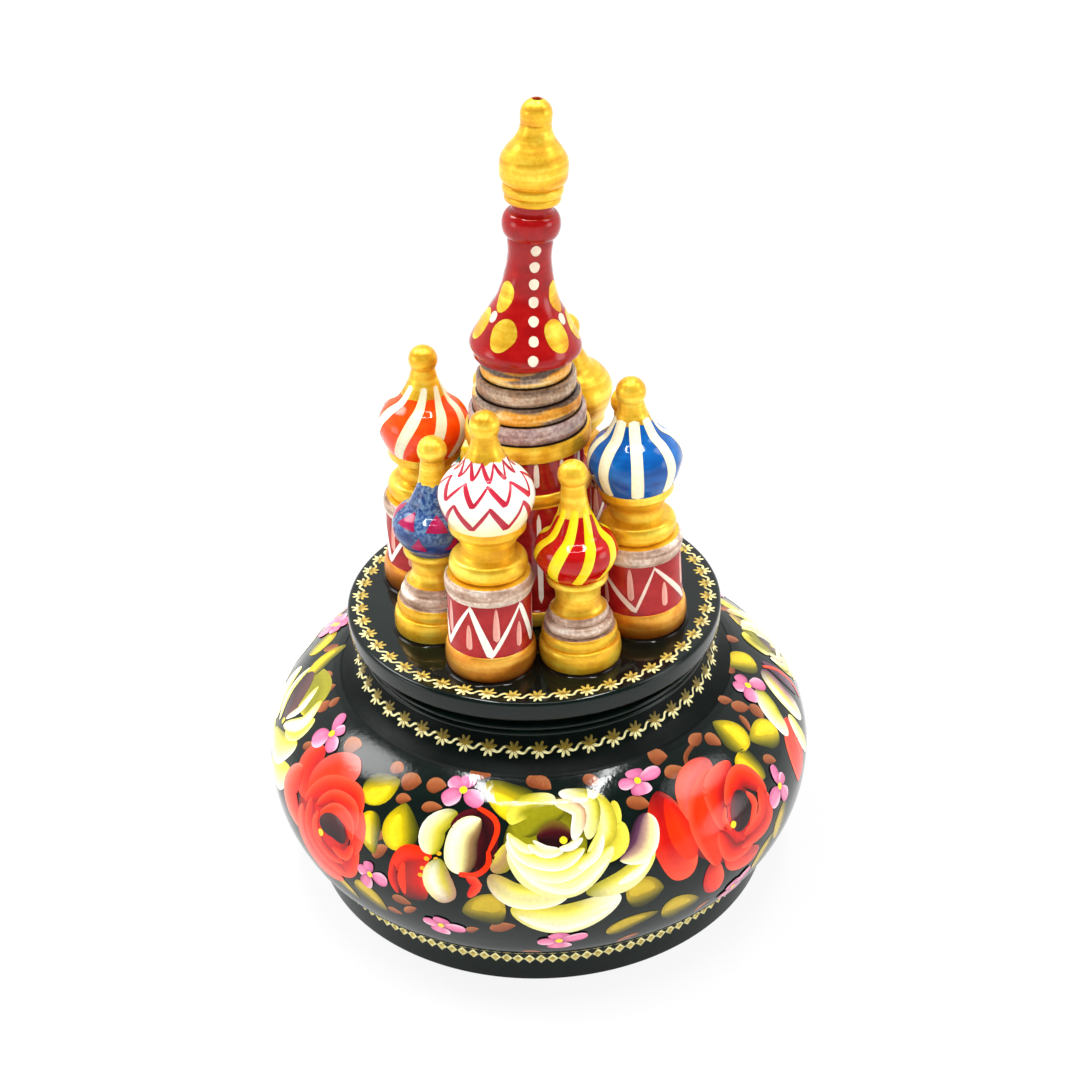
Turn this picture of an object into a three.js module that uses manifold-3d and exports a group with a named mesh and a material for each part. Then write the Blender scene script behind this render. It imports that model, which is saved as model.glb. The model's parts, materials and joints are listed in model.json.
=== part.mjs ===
// Music box: a turned wooden pot carries a turntable with a cluster of little towers.
// A spring movement inside the pot turns the table while a pinned cylinder plucks a steel comb.
// Millimetres, +Z up. The origin is the centre of the foot's underside.
import * as THREE from 'three';
import { mergeVertices } from 'three/addons/utils/BufferGeometryUtils.js';
import Module from 'manifold-3d';

const wasm = await Module();
wasm.setup();

// Roundness of the turned pieces
const POT_SIDES = 36;
const TABLE_SIDES = 40;
const CENTRE_SIDES = 20;
const TOWER_SIDES = 12;
const ROD_SIDES = 8;

// Clearances
const SEAT_GAP = 0.3;
const GLUE_FIT = 0.3;
const SLIDE_FIT = 0.15;
const RUN_GAP = 0.6;
const OVERLAP = 0.5;

// Pot
const POT_R = 60;
const WAIST_Z = 27;
const BELLY_TOP_DEPTH = 27;
const BELLY_TOP_RISE = 22;
const BELLY_LOW_DEPTH = 15.7;
const BELLY_LOW_DROP = 21.4;
const FOOT_INSET = 8.4;
const FOOT_H = 9;
const FOOT_BEVEL = 0.8;
const CREASE = 0.9;
const WALL = 9;
const NECK_INSET = 22.4;
const COVE_SPREAD = 4.9;
const NECK_H = 8.4;
const RIB_H = 1.2;
const RIB_GROOVE = 0.7;
const WEB_T = 8;
const CAVITY_DRAFT = 2;

// Bottom cover and its screws
const COVER_T = 5;
const COVER_RECESS = 1;
const LEDGE = 5;
const FOOT_RIM = 3.6;
const SCREWS = 3;
const SCREW_HEAD_H = 1.8;
const WOOD_SCREW = { shank: 1.1, head: 1.9, grip: 9, firstTurn: 90 };
const MACHINE_SCREW = { shank: 1.4, head: 2.8 };
const COMB_SCREW = { shank: 1.4, head: 2.2, grip: 4, notesIn: 4 };

// Turntable
const TABLE_R = 40.1;
const TABLE_T = 4.4;
const TABLE_EDGE = 0.9;
const BOSS_INSET = 5;
const BOSS_H = 2.5;
const HUB_R = 9;
const HUB_T = 1.6;
const HUB_SCREW = { shank: 0.9, head: 1.7, headH: 0.9, grip: 2.4, ring: 6.2, firstTurn: 30 };
const BUSH = { bore: 2.5, wall: 2.5, flange: 7.5, flangeT: 1.2, stand: 0.3 };

// Towers round the table, set by hand, so their turns and places out from its centre are a little uneven.
// Tall and short ones take turns. Sizes across the table are shares of its radius.
const TALL_PLACES = [
  { turn: -110.6, out: 0.648 },
  { turn: -25.7, out: 0.628 },
  { turn: 67.5, out: 0.628 },
  { turn: 159.3, out: 0.621 },
];
const SHORT_PLACES = [
  { turn: -68.9, out: 0.628 },
  { turn: 22.5, out: 0.5985 },
  { turn: 112.5, out: 0.5985 },
  { turn: -152.9, out: 0.5885 },
];
const TOWER_LEAN = 2.8;
const TENON = { r: 2.2, length: 3 };
const TALL_R = 0.2307 * TABLE_R;
const TALL_H = 55.6;
const SHORT_R = 0.2095 * TABLE_R;
const SHORT_H = 44.1;

// Centre tower
const DRUM_R = 0.3142 * TABLE_R;
const DRUM_H = 38.4;
const DRUM_TENON_R = 6;
const STACK_TOP_R = 0.2294 * TABLE_R;
const STACK_FOOT_R = 0.3217 * TABLE_R;
const STACK_RINGS = 5;
const STACK_H = 18.7;
const SPIRE_R = 0.2768 * TABLE_R;
const SPIRE_H = 31.2;
const SPIRE_LEAN = 4.3;
const FINIAL_R = 6.6;
const FINIAL_H = 19.8;
const FINIAL_HOLE = { r: 0.9, depth: 3 };

// Spring movement
const MOVEMENT_MARGIN = 4.1;
const BEDPLATE = { t: 2, back: 17, frontGap: 3, left: 26, right: 20, trim: 0.6, screwInset: 3.5 };
const HOUSING_WALL = 1;
const HOUSING_H = 8;
const SPRING = { t: 0.4, turns: 3, steps: 12, gap: 0.5 };
const SHAFT_R = 2.5;
const SHAFT_SQUARE = 1.6;
const CROWN_TEETH = 24;
const CROWN_MODULE = 0.8333;
const CROWN_FACE = 2.6;
const CROWN_WEB = 1.4;
const PINION_TEETH = 8;
const BRACKET_T = 1.5;
const BRACKET_HALF = 5;
const AXIAL_GAP = 0.9;
const CYLINDER = { r: 6.2, arbor: 1 };
const PIN = { height: 0.7, width: 0.45, rows: 2, turn: 137.5 };
const NOTES = 18;
const COMB = { t: 1, tooth: 12.2, slit: 0.25, back: 5, tipGap: 0.4 };
const WHEEL_MODULE = 0.6;
const WHEEL_TEETH = 24;
const LEAF_TEETH = 8;
const WHEEL_T = 1.2;
const WORM = { teeth: 16, starts: 2, module: 0.4, r: 1.5, length: 4.4, steps: 12, core: 0.6 };
const FAN = { half: 4.6, h: 4, t: 0.5, hub: 1.3 };
const COCK = { t: 1.4, side: 2.3 };

// Gear teeth, in modules
const TOOTH_TIP = 0.85;
const TOOTH_ROOT = 1.1;
const TOOTH_TIP_WIDTH = 0.7;
const TOOTH_ROOT_WIDTH = 1.5;

// Heights and radii worked out from the above
const FOOT_R = POT_R - FOOT_INSET;
const NECK_R = POT_R - NECK_INSET;
const SHOULDER_R = NECK_R + COVE_SPREAD;
const BELLY_TOP_IN = POT_R - BELLY_TOP_DEPTH;
const BELLY_LOW_IN = POT_R - BELLY_LOW_DEPTH;
const SHOULDER_TURN = Math.acos((SHOULDER_R - BELLY_TOP_IN) / BELLY_TOP_DEPTH);
const SHOULDER_Z = WAIST_Z + BELLY_TOP_RISE * Math.sin(SHOULDER_TURN);
const FOOT_TURN = Math.asin((WAIST_Z - FOOT_H - CREASE) / BELLY_LOW_DROP);
const NECK_TOP_Z = SHOULDER_Z + NECK_H;
const WEB_Z = NECK_TOP_Z - WEB_T;
const REBATE_R = FOOT_R - FOOT_RIM;
const OPENING_R = REBATE_R - LEDGE;
const COVER_Z = COVER_RECESS;
const COVER_TOP_Z = COVER_Z + COVER_T;
const BOSS_Z = NECK_TOP_Z + RUN_GAP;
const TABLE_Z = BOSS_Z + BOSS_H;
const TABLE_TOP_Z = TABLE_Z + TABLE_T;
const SPIRE_Z = TABLE_TOP_Z + DRUM_H + STACK_H + SEAT_GAP;
const BED_TOP_Z = COVER_TOP_Z + BEDPLATE.t;
const CROWN_R = CROWN_TEETH * CROWN_MODULE / 2;
const CROWN_IN = CROWN_R - CROWN_FACE / 2;
const CROWN_OUT = CROWN_R + CROWN_FACE / 2;
const HOUSING_TOP_Z = BED_TOP_Z + HOUSING_H;
const CROWN_Z = HOUSING_TOP_Z + RUN_GAP;
const CROWN_TOP_Z = CROWN_Z + CROWN_WEB;
const CROWN_PITCH_Z = CROWN_TOP_Z + TOOTH_ROOT * CROWN_MODULE;
const PINION_R = PINION_TEETH * CROWN_MODULE / 2;
const AXIS_Z = CROWN_PITCH_Z + PINION_R;
const INNER_BRACKET_X = CROWN_OUT + AXIAL_GAP;
const CYLINDER_X = INNER_BRACKET_X + BRACKET_T + AXIAL_GAP;
const ARBOR_END_X = OPENING_R - MOVEMENT_MARGIN;
const OUTER_BRACKET_X = ARBOR_END_X - OVERLAP - BRACKET_T;
const WHEEL_X = OUTER_BRACKET_X - AXIAL_GAP - WHEEL_T;
const WORM_WHEEL_X = WHEEL_X - AXIAL_GAP - WHEEL_T;
const CYLINDER_END_X = WORM_WHEEL_X - AXIAL_GAP;
const NOTE_PITCH = (CYLINDER_END_X - CYLINDER_X) / NOTES;
const COCK_X = CYLINDER_END_X - COCK.t;
const LEAF_Y = (WHEEL_TEETH + LEAF_TEETH) * WHEEL_MODULE / 2;
const WORM_WHEEL_R = WORM.teeth * WORM.module / 2;
const WORM_X = WORM_WHEEL_X + WHEEL_T / 2;
const WORM_Y = LEAF_Y + WORM_WHEEL_R + WORM.r;
const WORM_LEAD = WORM.starts * Math.PI * WORM.module;
const BRACKET_TOP_Z = AXIS_Z + WORM_WHEEL_R + COCK.side;
const COMB_TIP_Y = -(CYLINDER.r + PIN.height + COMB.tipGap);
const COMB_ROOT_Y = COMB_TIP_Y - COMB.tooth;
const COMB_BACK_Y = COMB_ROOT_Y - COMB.back;
const COMB_Z = AXIS_Z - COMB.t / 2;

// Paints and metals
const paint = (color, roughness = 0.3) => new THREE.MeshStandardMaterial({ color, roughness, metalness: 0 });
const metal = (color, roughness = 0.35) => new THREE.MeshStandardMaterial({ color, roughness, metalness: 1 });
const BLACK_LACQUER = paint(0x0b0c0c, 0.15);
const RED_LACQUER = paint(0xa8151c, 0.2);
const GOLD_PAINT = metal(0xd9a521, 0.45);
const BARE_WOOD = paint(0xc8a36e, 0.7);
const STEEL = metal(0xb9bcc0);
const BRASS = metal(0xc9a24a);
const ZINC = metal(0x9fa3a6, 0.5);
const SPRING_STEEL = metal(0x5c6a7a, 0.3);

const musicBox = new THREE.Group();

const radians = THREE.MathUtils.degToRad;

function toSolid(geometry) {
  const bare = geometry.clone();
  bare.deleteAttribute('normal');
  bare.deleteAttribute('uv');
  const merged = mergeVertices(bare, 1e-4);
  const corners = merged.index.array;
  const faces = [];
  for (let i = 0; i < corners.length; i += 3) {
    const [a, b, c] = corners.subarray(i, i + 3);
    if (a !== b && b !== c && c !== a) faces.push(a, b, c);
  }
  const vertProperties = merged.attributes.position.array;
  return new wasm.Manifold(new wasm.Mesh({ numProp: 3, vertProperties, triVerts: new Uint32Array(faces) }));
}

function toGeometry(solid) {
  const { vertProperties, triVerts } = solid.getMesh();
  const geometry = new THREE.BufferGeometry();
  geometry.setAttribute('position', new THREE.BufferAttribute(vertProperties, 3));
  geometry.setIndex(new THREE.BufferAttribute(triVerts, 1));
  geometry.computeVertexNormals();
  return geometry;
}

function addPiece(name, solid, material) {
  const mesh = new THREE.Mesh(toGeometry(solid), material);
  mesh.name = name;
  musicBox.add(mesh);
}

const join = (first, ...others) => others.reduce((sum, other) => sum.add(other), first);
const cut = (first, ...tools) => tools.reduce((rest, tool) => rest.subtract(tool), first);

// Turned solid about Z from [radius, height] points that start and end on the axis or close on themselves
function turnedGeometry(profile, sides) {
  const outline = profile.map(([r, z]) => new THREE.Vector2(r, z));
  return new THREE.LatheGeometry(outline, sides).rotateX(Math.PI / 2);
}

const turned = (profile, sides) => toSolid(turnedGeometry(profile, sides));

function rodGeometry(r, z0, z1, sides = ROD_SIDES) {
  return turnedGeometry([[0, z0], [r, z0], [r, z1], [0, z1]], sides);
}

const rod = (r, z0, z1, x = 0, y = 0, sides = ROD_SIDES) => (
  toSolid(rodGeometry(r, z0, z1, sides).translate(x, y, 0))
);

// Rod along X
const arbor = (r, x0, x1, y, z) => toSolid(rodGeometry(r, x0, x1).rotateY(Math.PI / 2).translate(0, y, z));

function block(x0, x1, y0, y1, z0, z1) {
  const box = new THREE.BoxGeometry(x1 - x0, y1 - y0, z1 - z0);
  return toSolid(box.translate((x0 + x1) / 2, (y0 + y1) / 2, (z0 + z1) / 2));
}

// Half-round moulding between two heights
function bead(r, z0, z1, swell, steps = 2) {
  return Array.from({ length: steps + 1 }, (_, i) => {
    const turn = (i / steps - 0.5) * Math.PI;
    return [r + swell * Math.cos(turn), (z0 + z1) / 2 + (z1 - z0) / 2 * Math.sin(turn)];
  });
}

function smooth(controls, steps) {
  const spline = new THREE.SplineCurve(controls.map(([r, z]) => new THREE.Vector2(r, z)));
  return spline.getPoints(steps).map((point) => [point.x, point.y]);
}

// Ball on a neck, up to its top on the axis
function ball(r, centre, fromTurn, steps = 4) {
  return Array.from({ length: steps + 1 }, (_, i) => {
    const turn = fromTurn + (Math.PI / 2 - fromTurn) * i / steps;
    return [i === steps ? 0 : r * Math.cos(turn), centre + r * Math.sin(turn)];
  });
}

// Points round a circle, for screws and the like
function ringOf(count, r, firstTurn) {
  return Array.from({ length: count }, (_, i) => {
    const turn = radians(firstTurn) + i * 2 * Math.PI / count;
    return [r * Math.cos(turn), r * Math.sin(turn)];
  });
}

function screw(size, headZ, headH, tipZ, x, y) {
  return join(rod(size.head, headZ, headZ + headH, x, y), rod(size.shank, headZ + headH / 2, tipZ, x, y));
}

// Pot, bottom cover and cover screws

function bellyTop(toTurn, steps) {
  return Array.from({ length: steps + 1 }, (_, i) => {
    const turn = toTurn * i / steps;
    return [BELLY_TOP_IN + BELLY_TOP_DEPTH * Math.cos(turn), WAIST_Z + BELLY_TOP_RISE * Math.sin(turn)];
  });
}

function bellyLow(fromTurn, steps) {
  return Array.from({ length: steps + 1 }, (_, i) => {
    const turn = fromTurn * (1 - i / steps);
    return [BELLY_LOW_IN + BELLY_LOW_DEPTH * Math.cos(turn), WAIST_Z - BELLY_LOW_DROP * Math.sin(turn)];
  });
}

const coverScrewRing = ringOf(SCREWS, OPENING_R + 0.4 * LEDGE, WOOD_SCREW.firstTurn);
const coverScrewHeadZ = COVER_Z + SEAT_GAP / 2;
const movementScrewRing = [
  [-BEDPLATE.back + BEDPLATE.screwInset, -CROWN_R],
  [-BEDPLATE.back + BEDPLATE.screwInset, CROWN_R],
  [(CYLINDER_X + CYLINDER_END_X) / 2, COMB_ROOT_Y + COMB.tooth / 2],
];

function addPot() {
  const coveTop = NECK_TOP_Z - 2 * RIB_H - SEAT_GAP;
  const cove = smooth([
    [SHOULDER_R, SHOULDER_Z],
    [NECK_R + COVE_SPREAD * 0.35, SHOULDER_Z + (coveTop - SHOULDER_Z) * 0.4],
    [NECK_R - RIB_GROOVE, coveTop],
  ], 3);
  const outside = [
    [REBATE_R, 0],
    [FOOT_R - FOOT_BEVEL, 0],
    [FOOT_R, FOOT_BEVEL],
    [FOOT_R, FOOT_H - CREASE],
    [FOOT_R - CREASE, FOOT_H],
    ...bellyLow(FOOT_TURN, 4),
    ...bellyTop(SHOULDER_TURN, 6).slice(1),
    ...cove.slice(1, -1),
    ...bead(NECK_R - RIB_GROOVE, coveTop, coveTop + RIB_H, RIB_GROOVE),
    ...bead(NECK_R - RIB_GROOVE, coveTop + RIB_H + SEAT_GAP, NECK_TOP_Z, RIB_GROOVE),
  ];
  const bushSeat = NECK_TOP_Z - BUSH.flangeT + BUSH.stand;
  const bushHole = BUSH.bore + SLIDE_FIT + BUSH.wall + GLUE_FIT;
  const cavityR = POT_R - WALL;
  const cavityTopR = NECK_R - WALL / 2;
  const cavityHighZ = (WEB_Z + WAIST_Z) / 2 + CAVITY_DRAFT;
  const cavityLowZ = (WAIST_Z + FOOT_H) / 2;
  const cavity = [
    ...smooth([[cavityTopR, WEB_Z], [cavityR - WALL / 3, cavityHighZ], [cavityR, WAIST_Z]], 3),
    ...smooth([[cavityR, WAIST_Z], [cavityR - CAVITY_DRAFT, cavityLowZ], [OPENING_R, FOOT_H]], 2).slice(1),
  ];
  const inside = [
    [BUSH.flange + GLUE_FIT, NECK_TOP_Z],
    [BUSH.flange + GLUE_FIT, bushSeat - SEAT_GAP],
    [bushHole, bushSeat - SEAT_GAP],
    [bushHole, WEB_Z],
    ...cavity,
    [OPENING_R, COVER_TOP_Z],
    [REBATE_R, COVER_TOP_Z],
    [REBATE_R, 0],
  ];
  const pilotTopZ = coverScrewHeadZ + WOOD_SCREW.grip + SEAT_GAP;
  const pilotHoles = coverScrewRing.map(([x, y]) => (
    rod(WOOD_SCREW.shank + SLIDE_FIT, COVER_TOP_Z - OVERLAP, pilotTopZ, x, y)
  ));
  addPiece('pot_body', cut(turned([...outside, ...inside], POT_SIDES), ...pilotHoles), BLACK_LACQUER);
}

function addCover() {
  const coverR = REBATE_R - GLUE_FIT;
  const board = turned([[0, COVER_Z], [coverR, COVER_Z], [coverR, COVER_TOP_Z], [0, COVER_TOP_Z]], POT_SIDES);
  const countersinks = (ring, size) => ring.flatMap(([x, y]) => [
    rod(size.head + GLUE_FIT, COVER_Z - OVERLAP, coverScrewHeadZ + SCREW_HEAD_H + SLIDE_FIT, x, y),
    rod(size.shank + SLIDE_FIT, COVER_Z, COVER_TOP_Z + OVERLAP, x, y),
  ]);
  const coverHoles = countersinks(coverScrewRing, WOOD_SCREW);
  const movementHoles = countersinks(movementScrewRing, MACHINE_SCREW);
  addPiece('bottom_cover', cut(board, ...coverHoles, ...movementHoles), BARE_WOOD);
  coverScrewRing.forEach(([x, y], i) => {
    const tip = coverScrewHeadZ + WOOD_SCREW.grip;
    const body = screw(WOOD_SCREW, coverScrewHeadZ, SCREW_HEAD_H, tip, x, y);
    addPiece(`cover_screw_${i + 1}`, body, STEEL);
  });
  movementScrewRing.forEach(([x, y], i) => {
    const tip = BED_TOP_Z + OVERLAP;
    const body = screw(MACHINE_SCREW, coverScrewHeadZ, SCREW_HEAD_H, tip, x, y);
    addPiece(`movement_screw_${i + 1}`, body, STEEL);
  });
}

// Turntable, its hub and the shaft

const placed = (tall, place) => {
  const turn = radians(place.turn);
  const r = place.out * TABLE_R;
  return { tall, turn, x: r * Math.cos(turn), y: r * Math.sin(turn) };
};
const towerPlaces = TALL_PLACES.flatMap((place, i) => [placed(true, place), placed(false, SHORT_PLACES[i])]);

const hubScrewRing = ringOf(SCREWS, HUB_SCREW.ring, HUB_SCREW.firstTurn);

function addTable() {
  const edge = Array.from({ length: 4 }, (_, i) => {
    const turn = i / 3 * Math.PI / 2;
    return [
      TABLE_R - TABLE_EDGE + TABLE_EDGE * Math.cos(turn),
      TABLE_TOP_Z - TABLE_EDGE + TABLE_EDGE * Math.sin(turn),
    ];
  });
  const hubRecess = HUB_R + GLUE_FIT;
  const hubSeat = BOSS_Z + HUB_T + SLIDE_FIT;
  const drumSocket = DRUM_TENON_R + GLUE_FIT;
  const socketZ = TABLE_TOP_Z - TENON.length - SEAT_GAP;
  const disc = turned([
    [0, hubSeat],
    [hubRecess, hubSeat],
    [hubRecess, BOSS_Z],
    [TABLE_R - BOSS_INSET, BOSS_Z],
    [TABLE_R - BOSS_INSET, TABLE_Z],
    [TABLE_R - TABLE_EDGE / 2, TABLE_Z],
    [TABLE_R, TABLE_Z + TABLE_EDGE / 2],
    ...edge,
    [drumSocket, TABLE_TOP_Z],
    [drumSocket, TABLE_TOP_Z - TENON.length + SEAT_GAP],
    [0, TABLE_TOP_Z - TENON.length + SEAT_GAP],
  ], TABLE_SIDES);
  const towerSockets = towerPlaces.map(({ x, y }) => (
    rod(TENON.r + GLUE_FIT, socketZ, TABLE_TOP_Z + OVERLAP, x, y)
  ));
  const pilots = hubScrewRing.map(([x, y]) => (
    rod(HUB_SCREW.shank + SLIDE_FIT, hubSeat - OVERLAP, BOSS_Z + HUB_SCREW.grip + SLIDE_FIT, x, y)
  ));
  addPiece('turntable_disc', cut(disc, ...towerSockets, ...pilots), BLACK_LACQUER);
}

function addHubAndShaft() {
  const half = SHAFT_SQUARE;
  const holeHalf = half + SLIDE_FIT;
  const flange = rod(HUB_R, BOSS_Z, BOSS_Z + HUB_T, 0, 0, CENTRE_SIDES);
  const square = block(-holeHalf, holeHalf, -holeHalf, holeHalf, BOSS_Z - OVERLAP, BOSS_Z + HUB_T + OVERLAP);
  const heads = hubScrewRing.flatMap(([x, y]) => [
    rod(HUB_SCREW.head + SLIDE_FIT, BOSS_Z - OVERLAP, BOSS_Z + HUB_SCREW.headH + SLIDE_FIT, x, y),
    rod(HUB_SCREW.shank + SLIDE_FIT, BOSS_Z, BOSS_Z + HUB_T + OVERLAP, x, y),
  ]);
  addPiece('hub_flange', cut(flange, square, ...heads), ZINC);
  hubScrewRing.forEach(([x, y], i) => {
    const tip = BOSS_Z + HUB_SCREW.grip;
    const body = screw(HUB_SCREW, BOSS_Z + SLIDE_FIT / 2, HUB_SCREW.headH, tip, x, y);
    addPiece(`hub_screw_${i + 1}`, body, STEEL);
  });

  const boreR = BUSH.bore + SLIDE_FIT;
  const bushZ = NECK_TOP_Z + BUSH.stand - BUSH.flangeT;
  const bush = turned([
    [boreR, WEB_Z],
    [boreR + BUSH.wall, WEB_Z],
    [boreR + BUSH.wall, bushZ],
    [BUSH.flange, bushZ],
    [BUSH.flange, bushZ + BUSH.flangeT],
    [boreR, bushZ + BUSH.flangeT],
    [boreR, WEB_Z],
  ], CENTRE_SIDES);
  addPiece('shaft_bush', bush, BRASS);

  const shaftTop = BOSS_Z - SLIDE_FIT;
  const squareTop = block(-half, half, -half, half, shaftTop - OVERLAP, BOSS_Z + HUB_T);
  const shaft = rod(SHAFT_R, COVER_TOP_Z + SEAT_GAP, shaftTop, 0, 0, CENTRE_SIDES);
  addPiece('drive_shaft', join(shaft, squareTop), STEEL);
}

// Towers: each is turned in one piece, faced off so that it leans a little, with a tenon in the table

function leaningPiece(profile, sides, leanDegrees, tenonR, tenonLength) {
  const lean = radians(leanDegrees);
  const leaning = turnedGeometry(profile, sides).rotateY(lean);
  const reach = 2 * POT_R;
  const below = block(-reach, reach, -reach, reach, -reach, 0);
  return join(toSolid(leaning).subtract(below), rod(tenonR, -tenonLength, OVERLAP));
}

function tallProfile() {
  const r = TALL_R;
  const h = TALL_H;
  const ballR = 0.324 * r;
  const ballZ = h - ballR;
  return [
    [0, -1],
    [0.93 * r, -1],
    ...bead(0.93 * r, 0, 0.102 * h, 0.07 * r),
    [0.914 * r, 0.309 * h],
    ...bead(0.9 * r, 0.313 * h, 0.378 * h, 0.07 * r),
    ...bead(0.71 * r, 0.381 * h, 0.453 * h, 0.14 * r),
    [0.584 * r, 0.46 * h],
    [0.584 * r, 0.502 * h],
    [0.785 * r, 0.552 * h],
    ...smooth([
      [0.838 * r, 0.588 * h],
      [0.955 * r, 0.63 * h],
      [1.027 * r, 0.68 * h],
      [0.97 * r, 0.723 * h],
      [0.785 * r, 0.761 * h],
      [0.575 * r, 0.797 * h],
      [0.422 * r, 0.833 * h],
      [0.319 * r, 0.872 * h],
      [0.265 * r, 0.91 * h],
    ], 8),
    ...ball(ballR, ballZ, radians(-37)),
  ];
}

function shortProfile() {
  const r = SHORT_R;
  const h = SHORT_H;
  const ballR = 0.357 * r;
  const ballZ = h - ballR;
  return [
    [0, -1],
    [0.94 * r, -1],
    ...bead(0.94 * r, 0, 0.104 * h, 0.06 * r),
    ...bead(0.87 * r, 0.107 * h, 0.166 * h, 0.05 * r),
    ...bead(0.77 * r, 0.17 * h, 0.22 * h, 0.06 * r),
    ...bead(0.68 * r, 0.222 * h, 0.263 * h, 0.05 * r),
    ...smooth([[0.62 * r, 0.268 * h], [0.545 * r, 0.304 * h], [0.55 * r, 0.354 * h], [0.62 * r, 0.4 * h]], 2),
    ...bead(0.69 * r, 0.404 * h, 0.442 * h, 0.05 * r),
    ...smooth([
      [0.7 * r, 0.447 * h],
      [0.87 * r, 0.488 * h],
      [0.985 * r, 0.535 * h],
      [0.985 * r, 0.574 * h],
      [0.86 * r, 0.619 * h],
      [0.625 * r, 0.667 * h],
      [0.48 * r, 0.712 * h],
      [0.37 * r, 0.76 * h],
      [0.315 * r, 0.816 * h],
      [0.285 * r, 0.889 * h],
    ], 8),
    ...ball(ballR, ballZ, radians(-37)),
  ];
}

const TOWER_LOOKS = [
  ['tower_cream', paint(0xf2e6c8)],
  ['tower_crimson', paint(0xa9141c)],
  ['tower_blue', paint(0x0f55a5)],
  ['tower_plum', paint(0x6b2257)],
  ['tower_gold', GOLD_PAINT],
  ['tower_green', paint(0x1f6a3a)],
  ['tower_orange', paint(0xe8460f)],
  ['tower_indigo', paint(0x1d2458)],
];

function addTowers() {
  const tall = leaningPiece(tallProfile(), TOWER_SIDES, TOWER_LEAN, TENON.r, TENON.length);
  const short = leaningPiece(shortProfile(), TOWER_SIDES, TOWER_LEAN, TENON.r, TENON.length);
  towerPlaces.forEach((place, i) => {
    const [name, material] = TOWER_LOOKS[i];
    const mesh = new THREE.Mesh(toGeometry(place.tall ? tall : short), material);
    mesh.name = name;
    mesh.position.set(place.x, place.y, TABLE_TOP_Z);
    mesh.rotation.z = place.turn + Math.PI;
    musicBox.add(mesh);
  });
}

// Centre tower: drum, ringed stack, leaning spire and finial

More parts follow.
